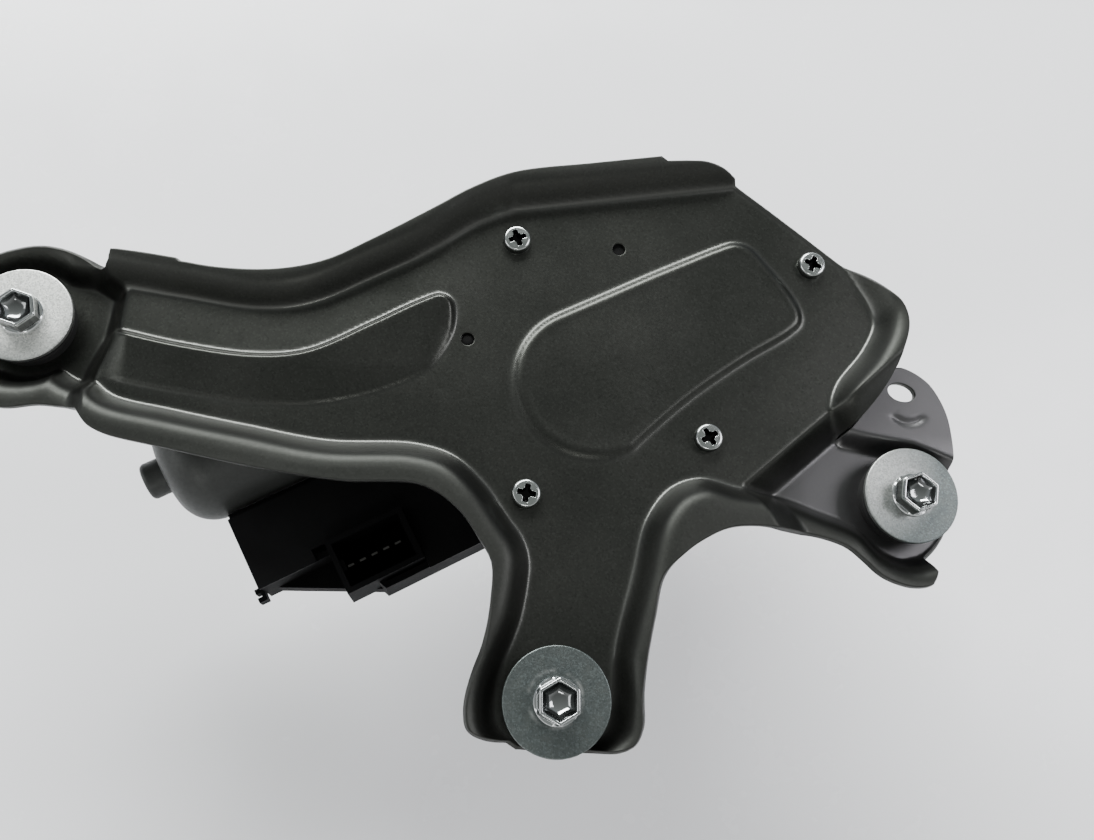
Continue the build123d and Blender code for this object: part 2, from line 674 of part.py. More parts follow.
def sector_rod():
    """Connecting rod with a gear sector at the spindle end and an eye at the crank end."""
    bottom, top = rod_z
    to_spindle = heading(sector_xy, spindle_xy)
    tip_r = sector_r + gear_module * 0.9
    root_r = sector_r - gear_module * 1.2
    teeth = gear_face(sector_teeth, gear_module, to_spindle, sector_reach, root_r, tip_r)
    step = 2 * pi / sector_teeth
    first = to_spindle + step * (sector_reach[0] - 0.45)
    last = to_spindle + step * (sector_reach[-1] + 0.45)
    fan = [first + (last - first) * k / 8 for k in range(9)]
    wedge = make_face(Polyline((0, 0), *[(30 * cos(a), 30 * sin(a)) for a in fan], close=True))
    wedge &= Circle(root_r)
    face = wedge + Circle(7.0) + teeth
    rod = extrude(Pos(*sector_xy, bottom) * face, top - bottom)
    rod += disc(crank_xy, 8.0, bottom, bar_top)
    web = hull([(*sector_xy, 6.0), (*crank_xy, 6.5)])
    rod += slab(web, bottom, bar_top)
    rod -= disc(crank_xy, pin_r + 0.1, bottom - 1, top + 1)
    return rod - disc(sector_xy, pin_r + 0.05, bottom - 1, top + 1)


def holder_link():
    """Link that keeps the sector in mesh with the pinion."""
    link = slab(hull([(*spindle_xy, 7.5), (*sector_xy, 6.5)]), *link_z)
    return link - disc(spindle_xy, 4.05, -10, 0) - disc(sector_xy, pin_r, -10, 0)


def sector_pin():
    """Pin riveted in the link. The sector turns on it."""
    return disc(sector_xy, pin_r, rod_z[0], link_z[1]) + disc(
        sector_xy, pin_r + 1.2, link_z[1], link_z[1] + 1.2)


# ---------------------------------------------------------------- output spindle
spindle_r = 5.0
spindle_end = -88.0
cone_z = (-79.0, -84.5)
seal_height = 2.6


def output_spindle():
    """Spindle with its pinion, a straight seat, a knurled cone and a threaded end."""
    body = disc(spindle_xy, 4.0, rod_z[1], -3.4) + disc(spindle_xy, spindle_r, cone_z[0], rod_z[1])
    body += Pos(*spindle_xy, sum(cone_z) / 2) * Cone(4.3, spindle_r, cone_z[0] - cone_z[1])
    body += disc(spindle_xy, 4.0, spindle_end - 10, cone_z[1])
    first = heading(spindle_xy, sector_xy) + pi / pinion_teeth
    root_r, tip_r = pinion_r - gear_module * 1.2, pinion_r + gear_module * 0.9
    teeth = gear_face(pinion_teeth, gear_module, first, range(pinion_teeth), root_r, tip_r)
    pinion = extrude(Pos(*spindle_xy, rod_z[0]) * (Circle(root_r) + teeth), rod_z[1] - rod_z[0])
    body += pinion
    knurl = Pos(5.15, 0, 0) * Rot(0, -7, 45) * Box(0.6, 0.6, 7)
    body -= [Pos(*spindle_xy, sum(cone_z) / 2) * Rot(0, 0, 15 * k) * knurl for k in range(24)]
    body -= tube(spindle_xy, 6, 4.4, -64.6, -63.6)
    return body


def upper_bush():
    return tube(spindle_xy, spindle_bore_r, spindle_r + 0.05, -31, spindle_floor)


def lower_bush():
    return tube(spindle_xy, spindle_bore_r, spindle_r + 0.05, boss_end + seal_height, -46)


def spindle_seal():
    """Rubber ring at the boss mouth, just clear of the turning spindle."""
    return tube(spindle_xy, spindle_bore_r, spindle_r + 0.1, boss_end, boss_end + seal_height)


def thrust_washer():
    return tube(spindle_xy, 8.5, spindle_r + 0.05, spindle_floor + 0.2, rod_z[0] - 0.6)


def seat_washer():
    return tube(spindle_xy, 8.5, spindle_r + 0.05, -63.3, -62.3)


def retaining_ring():
    ring = tube(spindle_xy, 7.2, 4.45, -64.5, -63.7)
    x, y = spindle_xy
    return ring - slab([(x - 1.4, y), (x - 3, y - 9), (x + 3, y - 9), (x + 1.4, y)], -66, -62)


def body_grommet():
    """Rubber sleeve over the boss that seals against the tailgate panel."""
    sleeve_part = tube(spindle_xy, 14.0, boss_r, -60.5, -56.4)
    sleeve_part += tube(spindle_xy, 17.0, boss_r, -59.2, -57.2)
    return sleeve_part


# ---------------------------------------------------------------- connector box
box_wall = 1.8
box_depth = 18.0                  # box bottom below the motor axis


def box_outline(inset=0.0):
    """Side and station outline of the box, as a face in the motor frame's side plane."""
    points = [(21.2, 13.3), (42.0, 13.3), (42.0, 38.0), (57.5, 44.0), (57.5, 79.4), (21.2, 79.4)]
    face = make_face(Polyline(*points, close=True))
    return offset(face, amount=-inset) if inset else face


# Local X stays sideways and local Y becomes the station; the face's normal then points up.
side_plane = Plane(origin=(*motor_start, motor_z), x_dir=(sin(course), -cos(course), 0),
                   z_dir=(0, 0, 1))


def box_solid(inset, low, high):
    """Prism on the box outline between two heights counted from the motor axis, up positive."""
    return side_plane * slab(box_outline(inset), low, high)


socket_side = (39.0, 55.0)
socket_station = (34.0, 57.0)
socket_top = 9.5                  # above the motor axis
socket_floor = -8.0


def connector_housing():
    """Moulded box on the motor's side with the cable socket."""
    base = box_solid(0.0, -box_depth, 3.4) - box_solid(box_wall, box_wall - box_depth, 4)
    outer = motor_box(socket_side, (-socket_top, 14.0), socket_station)
    base += outer
    base -= motor_box((socket_side[0] + 1.5, socket_side[1] - 1.5), (-socket_top - 1, -socket_floor),
                      (socket_station[0] + 1.5, socket_station[1] - 1.5))
    key = motor_box((45.4, 48.6), (-socket_top + 1.5, -socket_floor),
                    (socket_station[0] + 1.5, socket_station[0] + 2.7))
    clip = motor_box((40.5, 44.5), (4, 10), (10.8, 13.3))
    clip -= motor_box((41.9, 43.1), (3, 11), (10, 12.2))
    # Slot for the brush plate's tongue.
    base -= motor_box((20, 24), (-3.2, 6.2), (69.0, 72.4))
    skirt = side_plane * slab([(40.5, 14.0), (57.5, 46.5), (57.5, 50.0), (40.5, 50.0)],
                              -box_depth, -9.0)
    return base + skirt + key + clip


def connector_cover():
    """Flat lid of the box, notched round the socket."""
    lid = box_solid(-0.4, 3.5, 5.0)
    lid -= motor_box((socket_side[0] - 0.3, 60), (-12, 0), (30, socket_station[1] + 0.3))
    return lid


def contact_board():
    """Board with the park contacts and suppression parts, on the box floor."""
    board = box_solid(3.0, -13.0, -11.4)
    return board - motor_box((socket_side[0] - 1, 60), (0, 20), (30, socket_station[1] + 1))


def connector_blades():
    """Five tinned blades standing in the socket."""
    made = []
    for k in range(5):
        station = 38.0 + 3.6 * k
        made.append(motor_box((46.7, 47.3), (-2.0, -socket_floor), (station - 0.9, station + 0.9)))
    return made


# ---------------------------------------------------------------- write all nodes
write("bracket", bracket())
write("lid_screws", lid_screws())
write("locating_dowel", locating_dowel())
write("gear_housing", gear_housing() - dowel_seat())
for ear, (x, y, z) in ears.items():
    write(f"grommet_{ear}", grommet(x, y, z))
    write(f"collar_{ear}", collar(x, y, z))
write("ear_washers", [washer(*place) for place in ears.values()])
write("ear_bolts", [bolt(*place, bolt_turns[ear]) for ear, place in ears.items()])
write("motor_can", motor_can())
write("yoke_screws", yoke_screws())
write("magnets", magnets())
write("rear_bearing", rear_bearing())
write("front_bearing", front_bearing())
write("thrust_plug", thrust_plug())
write("armature_shaft", armature_shaft())
write("armature_core", armature_core())
write("armature_windings", armature_windings())
write("commutator", commutator())
write("brush_holder", brush_holder())
write("carbon_brushes", carbon_brushes())
write("brush_springs", brush_springs())
write("worm_wheel", worm_wheel())
write("crank_pin", crank_pin())
write("wheel_axle", wheel_axle())
write("axle_clip", axle_clip())
write("sector_rod", sector_rod())
write("holder_link", holder_link())
write("sector_pin", sector_pin())
write("output_spindle", output_spindle())
write("upper_bush", upper_bush())
write("lower_bush", lower_bush())
write("spindle_seal", spindle_seal())
write("thrust_washer", thrust_washer())
write("seat_washer", seat_washer())
write("retaining_ring", retaining_ring())
write("body_grommet", body_grommet())
write("connector_housing", connector_housing())
write("connector_cover", connector_cover())
write("contact_board", contact_board())
write("connector_blades", connector_blades())
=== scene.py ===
import json
import math

import bmesh
import bpy
import numpy as np
from mathutils import Matrix, Vector
from mathutils.geometry import delaunay_2d_cdt


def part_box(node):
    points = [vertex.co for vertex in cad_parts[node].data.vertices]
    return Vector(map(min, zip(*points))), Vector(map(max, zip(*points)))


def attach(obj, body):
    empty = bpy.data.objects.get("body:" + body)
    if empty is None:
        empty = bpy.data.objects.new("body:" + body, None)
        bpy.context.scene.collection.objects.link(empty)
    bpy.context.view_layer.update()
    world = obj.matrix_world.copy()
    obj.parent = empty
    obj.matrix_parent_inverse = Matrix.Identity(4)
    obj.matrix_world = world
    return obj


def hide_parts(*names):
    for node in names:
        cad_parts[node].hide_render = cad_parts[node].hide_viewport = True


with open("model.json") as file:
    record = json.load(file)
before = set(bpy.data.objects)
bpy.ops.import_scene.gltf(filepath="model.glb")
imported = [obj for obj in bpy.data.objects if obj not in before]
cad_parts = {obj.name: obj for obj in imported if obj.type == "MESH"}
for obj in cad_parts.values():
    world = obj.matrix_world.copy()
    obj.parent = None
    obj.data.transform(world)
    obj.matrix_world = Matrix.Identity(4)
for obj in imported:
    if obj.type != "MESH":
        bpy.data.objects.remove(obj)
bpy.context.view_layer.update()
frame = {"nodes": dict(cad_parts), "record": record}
nodes = frame["nodes"]

# The bracket is drawn in the press tool's millimetres: plan X and Y, with Z = 0 on its
# outer face. The row frame's origin is this point of it.
ORIGIN = np.array([57.0, 36.0, -72.0])
# Where the photographer's eye was, and the camera's own axes and lens.
EYE = np.array([-30.4, -74.2, 258.9])
CAMERA_RIGHT = (0.9932, 0.0, 0.1164)
CAMERA_AHEAD = (0.1120, 0.2738, -0.9553)
LENS, SENSOR = 32.9, 36.0

SHEET = 2.0                       # thickness of the bracket's steel
EDGE = 0.38                       # rounding of its cut edges
# The bracket's ears: the middle of each bolt hole, and the height of the ear's floor.
EARS = {"bottom": (1.5, -73.5), "right": (102.0, -18.3), "left": (-144.2, 29.1)}
EAR_Z = {"bottom": 0.0, "right": -8.3, "left": -21.0}
EAR_HOLE_R = 7.6
SCREWS = [(-8.7, 52.6), (77.6, 49.2), (44.4, -3.9), (-5.7, -20.7)]
SCREW_HOLE_R = 2.3
HOLE_BY_RIB, HOLE_BY_SCREW, SMALL_HOLE_R = (-22.0, 22.5), (20.8, 51.8), 1.75
WING_SLOT = (103.2, 12.4)
ARM_SLOPE = math.tan(math.radians(8))
# The motor's axis: where it starts under the arm, and its heading in plan.
MOTOR_START = np.array([-107.8, -12.2, -30.0])
MOTOR_HEADING = math.radians(27.5)


# ---------------------------------------------------------------- camera
def make_camera():
    data = bpy.data.cameras.new("camera")
    data.sensor_width = SENSOR
    data.lens = LENS
    data.clip_start = 0.01
    data.clip_end = 20.0
    cam = bpy.data.objects.new("camera", data)
    bpy.context.scene.collection.objects.link(cam)
    right, ahead = Vector(CAMERA_RIGHT).normalized(), Vector(CAMERA_AHEAD).normalized()
    up = right.cross(ahead).normalized()
    right = ahead.cross(up).normalized()
    turn = Matrix((right, up, -ahead)).transposed().to_4x4()
    cam.matrix_world = Matrix.Translation(((EYE - ORIGIN) / 1000).tolist()) @ turn
    bpy.context.scene.camera = cam


make_camera()


# ---------------------------------------------------------------- curves in plan
def smooth(points, closed=False, step=1.6):
    """Centripetal Catmull-Rom curve through plan points, sampled about every `step` mm."""
    p = [np.array(q, float) for q in points]
    if closed:
        p = [p[-1]] + p + [p[0], p[1]]
    else:
        p = [2 * p[0] - p[1]] + p + [2 * p[-1] - p[-2]]
    out = []
    for a, b, c, d in zip(p, p[1:], p[2:], p[3:]):
        t = [0.0]
        for u, v in ((a, b), (b, c), (c, d)):
            t.append(t[-1] + max(np.linalg.norm(v - u), 1e-6) ** 0.5)
        n = max(int(np.linalg.norm(c - b) / step), 1)
        for k in range(n):
            s = t[1] + (t[2] - t[1]) * k / n
            a1 = (t[1] - s) / (t[1] - t[0]) * a + (s - t[0]) / (t[1] - t[0]) * b
            a2 = (t[2] - s) / (t[2] - t[1]) * b + (s - t[1]) / (t[2] - t[1]) * c
            a3 = (t[3] - s) / (t[3] - t[2]) * c + (s - t[2]) / (t[3] - t[2]) * d
            b1 = (t[2] - s) / (t[2] - t[0]) * a1 + (s - t[0]) / (t[2] - t[0]) * a2
            b2 = (t[3] - s) / (t[3] - t[1]) * a2 + (s - t[1]) / (t[3] - t[1]) * a3
            out.append((t[2] - s) / (t[2] - t[1]) * b1 + (s - t[1]) / (t[2] - t[1]) * b2)
    if not closed:
        out.append(p[-2])
    return np.array(out)


def joined(*runs):
    """One run of plan points from several."""
    return np.vstack([np.array(r, float) for r in runs])


def resample(loop, step):
    """Closed loop with points evenly spaced, corners sharper than 25 degrees kept."""
    q = np.asarray(loop, float)
    n = len(q)
    corners = {0}
    for i in range(n):
        u, v = q[i] - q[i - 1], q[(i + 1) % n] - q[i]
        if abs(math.atan2(u[0] * v[1] - u[1] * v[0], u @ v)) > math.radians(25):
            corners.add(i)
    corners = sorted(corners)
    out = []
    for start, end in zip(corners, corners[1:] + [corners[0] + n]):
        run = q[[i % n for i in range(start, end + 1)]]
        s = np.concatenate([[0], np.cumsum(np.linalg.norm(np.diff(run, axis=0), axis=1))])
        count = max(int(round(s[-1] / step)), 1)
        at = np.linspace(0, s[-1], count + 1)[:-1]
        out.append(np.stack([np.interp(at, s, run[:, 0]), np.interp(at, s, run[:, 1])], 1))
    return np.vstack(out)


# ---------------------------------------------------------------- bracket outlines
# Creases where the floor meets its flanges. The floor is outlined twice, without and with
# the wing, because the wing passes under the side flange.
top_crease = joined([(56.3, 73.6), (40, 70.75), (20, 67.2), (0, 63.7)],
                    smooth([(-9.4, 62.1), (-20, 57.2), (-31.8, 48.9), (-48.5, 40.5),
                            (-65.7, 32.9), (-79.6, 31.6), (-100.9, 35.3), (-116.5, 38.3)]))
ear_crease = [(EARS["left"][0] + 15.6 * math.cos(math.radians(a)),
               EARS["left"][1] + 15.6 * math.sin(math.radians(a))) for a in range(55, 306, 10)]
left_crease = smooth([(-121, 39.3)] + ear_crease + [
    (-130, 13.2), (-123.3, 11.0), (-117.2, 6.4), (-100.9, 2.3), (-79.6, -2.3), (-58.8, -6.4),
    (-35, -7.5), (-25, -10.8), (-16.7, -18.3), (-10.8, -26.7), (-6.7, -32.5), (-5, -38.3),
    (-6.7, -51.7), (-8.3, -56.7), (-12.6, -67), (-14, -75), (-12.6, -81), (-8, -86.4)])
right_crease = smooth([(9, -88), (15.6, -81), (16.9, -73), (17.2, -62), (18.6, -55.5),
                       (22.5, -41.7), (26.7, -26.7), (33.3, -18.3), (41.7, -15.3),
                       (51.7, -17.5), (58, -18.2), (65.5, -18.0), (77, -21.9), (88.7, -26.8),
                       (94.5, -32.8), (101, -35.3), (107, -34.2)])
ear_end = [(111.5, -31), (115.6, -25), (117.2, -17), (117.4, -9)]
side_crease = smooth([(80.2, 5.2), (80.9, 9), (83, 13.6), (91.1, 23.3), (95.3, 31.7),
                      (94.8, 36.5), (87.5, 49.6)])
floor_a = joined(top_crease, left_crease, right_crease, ear_end,
                 [(117, -4), (100, -4), (88, -4), (84.3, -0.6)], side_crease)
wing_edge = smooth([(100.2, 19.2), (103.8, 20.1), (111.4, 15.9), (116.4, 7.5), (117.7, -1),
                    (117.4, -9)])
wing_inner = [(86.2, 0.4), (90.5, 5.2), (94.6, 10.0), (97.6, 14.6)]
floor_b = joined(top_crease, left_crease, right_crease, ear_end,
                 wing_edge[::-1], wing_inner[::-1], [(84.3, -0.6), (60, 8)])
# Where the wing's own height field holds, beyond the right ear.
wing_zone = joined([(84.6, -0.7)], wing_inner, wing_edge,
                   [(119, -9), (119, -15), (92, -15), (86, -8)])


def flat(points):
    """Outline points in true plan place."""
    p = np.asarray(points, float)
    return np.hstack([p, np.zeros((len(p), 1))])


def marked(points):
    """Outline points as seen from the eye, on a height that is solved later."""
    p = np.asarray(points, float)
    return np.hstack([p, np.ones((len(p), 1))])


# Outer edge, the way round that starts at the top right corner.
outline = np.vstack([
    marked([(56.6, 74.4), (66, 67.0), (77, 58.3)]),
    marked(smooth([(87.5, 49.9), (94, 47.4), (100, 44.2), (105.2, 40), (106.8, 33.8),
                   (103.6, 23.3), (97.4, 12.9), (90.2, 4.6), (86.9, 1.4)])),
    flat([(84.6, -0.9)]),
    flat(wing_inner),
    flat(wing_edge),
    flat(smooth([(117.4, -9), (117.2, -17), (115.6, -25), (111.5, -31), (107.4, -34.6)])),
    marked(smooth([(107.5, -39.2), (105.8, -42.7), (100, -43.6), (91.7, -40.8), (86.8, -36.4),
                   (81.7, -32.5), (70, -29.3), (60, -27.7), (50, -28.3), (42, -32),
                   (36.7, -35.8), (30.8, -41.7), (28.3, -51.7), (25.8, -63.3), (24.4, -71.7),
                   (24.3, -80), (21.9, -87.0), (17.5, -88.9), (12, -88.6)])),
    flat([(8.5, -88.3), (-7.5, -86.9)]),
    marked(smooth([(-9.5, -85), (-14.2, -84.4), (-19.2, -81.7), (-20.4, -75), (-18.3, -66.7),
                   (-15.8, -60), (-14.3, -48.3), (-14.4, -38.5), (-17.5, -33.0),
                   (-23.3, -25), (-33.3, -18.6), (-53.3, -18), (-73.3, -15.6),
                   (-100.8, -10.3), (-115, -7.2), (-119.5, -4.8), (-122.5, -1.0)])),
    flat(smooth([(-130, 3.2), (-137, 3.6), (-145.8, 2.5), (-156, 5.2), (-163.4, 12),
                 (-166.8, 21), (-166.4, 31), (-162.6, 39.6), (-157, 45), (-151, 48.2),
                 (-142.5, 50.1), (-135, 49.0), (-129.6, 46.6), (-126.5, 44.6)])),
    flat([(-124.6, 43.4), (-122.8, 43.0), (-121.4, 44.0), (-120.6, 46.6)]),
    marked(smooth([(-117.2, 44.4), (-110, 43.7), (-101.6, 42.6)])),
    marked(smooth([(-100.6, 41.7), (-90, 40.4), (-75, 40.8), (-61.7, 44.2), (-50, 50.8),
                   (-31.8, 62.4), (-21.4, 69.2), (-9.4, 74.9), (14, 79.4), (34.4, 83.0)])),
    marked([(36.3, 81.5)]),
    marked(smooth([(42, 82.0), (48.4, 82.0), (54.2, 79.6), (56.6, 76.9)])),
])

# The domed pad, and the rib that runs out along the arm.
pad_edge = np.vstack([
    [(12.5 + 22.5 * math.cos(math.radians(a)), 11 + 22.5 * math.sin(math.radians(a)))
     for a in range(118, 296, 6)],
    smooth([(23.8, -8.4), (27, -5.0), (40, 6.6), (56, 18.2), (70.5, 27.4), (73.9, 31),
            (73.6, 36.4), (63.8, 50.5), (59.6, 54.9), (54.6, 56.0), (48, 53.6)], step=1.2),
    [(30, 45.0), (15, 37.4)]])
rib_edge = smooth([(-123, 27.0), (-116.3, 25.3), (-100.9, 21.5), (-79.6, 18.2), (-65.7, 19.2),
                   (-48.5, 27.1), (-36, 33.4), (-29.5, 35.6), (-26.2, 33.5), (-25.4, 28.5),
                   (-26.6, 22.5), (-31.7, 14.2), (-40.1, 9.3), (-57.1, 4.6), (-74.4, 3.7),
                   (-100.9, 7.4), (-117.1, 10.8), (-123, 12.4)], closed=True)

# ---------------------------------------------------------------- bracket height field
CELL = 0.375                      # raster of the height fields
X0, Y0, NX, NY = -172.5, -94.5, 797, 497
gx = X0 + CELL * np.arange(NX)
gy = Y0 + CELL * np.arange(NY)
mx, my = np.meshgrid(gx, gy)
FAR = 24.0                        # distances are cut off here


def signed_distance(loop):
    """Distance to a closed loop on the raster, negative inside it. Worked out on every second
    cell and interpolated."""
    xs, ys = gx[::2], gy[::2]
    px, py = np.meshgrid(xs, ys)
    best = np.full(px.shape, 1e9)
    inside = np.zeros(px.shape, bool)
    q = np.asarray(loop)[:, :2]
    for a, b in zip(q, np.roll(q, -1, axis=0)):
        ex, ey = b - a
        length = ex * ex + ey * ey
        if length < 1e-12:
            continue
        x0 = np.searchsorted(xs, min(a[0], b[0]) - FAR)
        x1 = np.searchsorted(xs, max(a[0], b[0]) + FAR)
        y0 = np.searchsorted(ys, min(a[1], b[1]) - FAR)
        y1 = np.searchsorted(ys, max(a[1], b[1]) + FAR)
        sx, sy = px[y0:y1, x0:x1], py[y0:y1, x0:x1]
        t = np.clip(((sx - a[0]) * ex + (sy - a[1]) * ey) / length, 0, 1)
        d = (sx - a[0] - t * ex) ** 2 + (sy - a[1] - t * ey) ** 2
        best[y0:y1, x0:x1] = np.minimum(best[y0:y1, x0:x1], d)
        rows = (ys > min(a[1], b[1])) & (ys <= max(a[1], b[1]))
        if rows.any():
            cross = a[0] + (ys[rows] - a[1]) * ex / ey
            inside[rows] ^= xs[None, :] < cross[:, None]
    d = np.sqrt(np.minimum(best, FAR ** 2))
    d[inside] *= -1
    full = np.empty((NY, NX))
    full[::2, ::2] = d
    full[::2, 1::2] = (d[:, :-1] + d[:, 1:]) / 2
    full[1::2] = (full[:-2:2] + full[2::2]) / 2
    return full


def ramp(x):
    """Smooth step from 0 to 1."""
    x = np.clip(x, 0, 1)
    return x * x * (3 - 2 * x)


def blur(field, sigma):
    """Gaussian blur of a raster, `sigma` in mm."""
    n = int(math.ceil(3 * sigma / CELL))
    k = np.exp(-0.5 * (np.arange(-n, n + 1) * CELL / sigma) ** 2)
    k /= k.sum()
    for axis in (0, 1):
        padded = np.concatenate([np.repeat(np.take(field, [0], axis), n, axis), field,
                                 np.repeat(np.take(field, [-1], axis), n, axis)], axis)
        out = np.zeros_like(field)
        for i, w in enumerate(k):
            out += w * np.take(padded, range(i, i + field.shape[axis]), axis)
        field = out
    return field


# Section of a flange: height over the floor against distance from its crease.
flange_d = [0, 1.2, 3.0, 4.2, 5.4, 6.8, 8.6, 30]
flange_h = [0, 2.0, 4.9, 6.5, 7.4, 7.9, 8.1, 8.1]


def base_field():
    """The floor without its flanges: flat, a sloping arm, and a step down to each side ear."""
    bend = np.interp(my, [-12, -9, 14, 36, 50], [-22, -22.5, -32, -28.5, -29])
    z = -ARM_SLOPE * 1.6 * np.logaddexp(0, (bend - mx) / 1.6)
    step_left = np.interp(my, [-6, 2, 12, 15.7, 26.2, 37.5, 40.5],
                          [-124.5, -123.0, -122.5, -121.5, -117.4, -116.7, -121.4])
    t = ramp((step_left + 0.6 - mx) / 7.5)
    z = z * (1 - t) + EAR_Z["left"] * t
    past_side = (mx - 80.2) * 0.639 - (my - 5.1) * 0.77
    past_leg = (mx - 54.0) * 0.877 + (my + 17.4) * 0.48
    return z + EAR_Z["right"] * np.clip(np.minimum(past_side / 7.5, past_leg / 9.0), 0, 1)


def add_pad(base):
    """Domed pad: a low step whose lower left side slopes wider, with two faint dents."""
    pad = signed_distance(pad_edge)
    reach = 2.0 + 1.0 * ramp((-mx * 0.6 - my * 0.8 + 18) / 26)
    base += 1.15 * ramp(-pad / reach)
    base += 0.10 * np.exp(-((pad + reach + 0.9) / 0.7) ** 2) * (pad < 0)
    base -= 0.16 * np.exp(-(np.hypot(mx - 8, my - 4) / 9) ** 2)
    base -= 0.13 * np.exp(-(np.hypot(mx - 24, my - 16) / 7) ** 2)


def add_rib(base):
    """Rib along the arm: its face climbs from the lower side to a sharper upper one."""
    rib = signed_distance(rib_edge)
    upper = np.interp(mx, [-123, -116.3, -100.9, -79.6, -65.7, -48.5, -36, -29.5],
                      [27.0, 25.3, 21.5, 18.2, 19.2, 27.1, 33.4, 35.6])
    lower = np.interp(mx, [-123, -117.1, -100.9, -74.4, -57.1, -40.1, -31.7, -26.6],
                      [12.4, 10.8, 7.4, 3.7, 4.6, 9.3, 14.2, 22.5])
    across = np.clip((my - lower) / np.maximum(upper - lower, 1), 0, 1)
    face = 0.5 + 3.1 * across ** 0.9
    height = np.minimum(3.7 * ramp(-rib / 1.7), blur(face, 0.8))
    base += height * ramp((mx + 124) / 10)


def wing_field():
    """Floor of the wing beyond the right ear, with a crescent pressed in below its slot."""
    shoulder = np.interp(mx, [80, 86, 92, 105, 116.6, 124], [3.0, -1.2, -2.4, -4.4, -8.8, -11])
    wing = EAR_Z["right"] + 5.8 * ramp((my - shoulder + 2.4) / 4.8)
    crescent = np.hypot(mx - 104.6, my - 9.0)
    return wing - 0.8 * np.exp(-((crescent - 5.6) / 0.8) ** 2) * ramp((6.0 - my) / 1.5)


def bracket_fields():
    """Heights of the sheet's outer face, of the same in the wing's zone, and the distance from
    the floor's creases."""
    base = base_field()
    add_pad(base)
    add_rib(base)
    crease_gap = signed_distance(floor_a)
    sheet = base + np.interp(np.maximum(crease_gap, 0), flange_d, flange_h)
    wing = np.where(mx > 84, np.maximum(base, wing_field()), base)
    wing_gap = signed_distance(floor_b)
    wing = wing + np.interp(np.maximum(wing_gap, 0), flange_d, flange_h) * (my < -12)
    return blur(sheet, 0.42), blur(wing, 0.45), crease_gap


sheet_field, wing_zone_field, crease_gap = bracket_fields()
fields = (sheet_field, wing_zone_field)


def look_up(field, x, y):
    """Raster values at any plan points."""
    u = np.clip((np.asarray(x) - X0) / CELL, 0, NX - 1.001)
    v = np.clip((np.asarray(y) - Y0) / CELL, 0, NY - 1.001)
    i, j = u.astype(int), v.astype(int)
    s, t = u - i, v - j
    return ((field[j, i] * (1 - s) + field[j, i + 1] * s) * (1 - t)
            + (field[j + 1, i] * (1 - s) + field[j + 1, i + 1] * s) * t)


def in_loop(loop, x, y):
    """Which points are inside a closed loop."""
    q = np.asarray(loop)[:, :2]
    x, y = np.asarray(x), np.asarray(y)
    inside = np.zeros(x.shape, bool)
    for a, b in zip(q, np.roll(q, -1, axis=0)):
        if a[1] == b[1]:
            continue
        rows = (y > min(a[1], b[1])) & (y <= max(a[1], b[1]))
        inside ^= rows & (x < a[0] + (y - a[1]) * (b[0] - a[0]) / (b[1] - a[1]))
    return inside


def height_at(pair, wing, x, y):
    """Height from the first of two fields, or from the second where `wing` is set."""
    return np.where(wing, look_up(pair[1], x, y), look_up(pair[0], x, y))


def face_normals(pair, wing, x, y):
    """Upward normals of a pair of height fields at plan points."""
    sx, sy = [(height_at(pair, wing, x + dx, y + dy) - height_at(pair, wing, x - dx, y - dy))
              / (2 * CELL) for dx, dy in ((CELL, 0), (0, CELL))]
    n = np.stack([-sx, -sy, np.ones(len(sx))], 1)
    return n / np.linalg.norm(n, axis=1)[:, None]


# ---------------------------------------------------------------- bracket mesh
def true_outline():
    """The outline in true plan place: marked points are moved along the line of sight."""
    seen, marks = outline[:, :2], outline[:, 2] > 0.5
    at = seen.copy()
    for _ in range(12):
        z = look_up(sheet_field, at[:, 0], at[:, 1])
        goal = EYE[:2] + (seen - EYE[:2]) * (1 - z / EYE[2])[:, None]
        at[marks] = 0.5 * at[marks] + 0.5 * goal[marks]
    return at


def circle(cx, cy, r, n, stretch=1.0, turn=0.0):
    """Closed loop: a circle, or an ellipse squeezed by `stretch` and turned."""
    a = np.linspace(0, 2 * math.pi, n, endpoint=False)
    px, py = r * np.cos(a), r * stretch * np.sin(a)
    c, s = math.cos(turn), math.sin(turn)
    return np.stack([cx + c * px - s * py, cy + s * px + c * py], 1)


ear_holes = [circle(x, y, EAR_HOLE_R, 48) for x, y in EARS.values()]
small_holes = [circle(x, y, SCREW_HOLE_R, 20) for x, y in SCREWS]
small_holes += [circle(*HOLE_BY_RIB, SMALL_HOLE_R, 20), circle(*HOLE_BY_SCREW, SMALL_HOLE_R, 20)]
small_holes += [circle(*WING_SLOT, 4.0, 36, 0.66, -0.22)]
holes = ear_holes + small_holes


def outward(loop):
    """Normals in plan that point out of a closed loop."""
    q = np.asarray(loop)[:, :2]
    d = np.roll(q, -1, axis=0) - np.roll(q, 1, axis=0)
    d /= np.maximum(np.linalg.norm(d, axis=1), 1e-9)[:, None]
    n = np.stack([d[:, 1], -d[:, 0]], 1)
    area = 0.5 * np.sum(q[:, 0] * np.roll(q[:, 1], -1) - np.roll(q[:, 0], -1) * q[:, 1])
    return n if area > 0 else -n


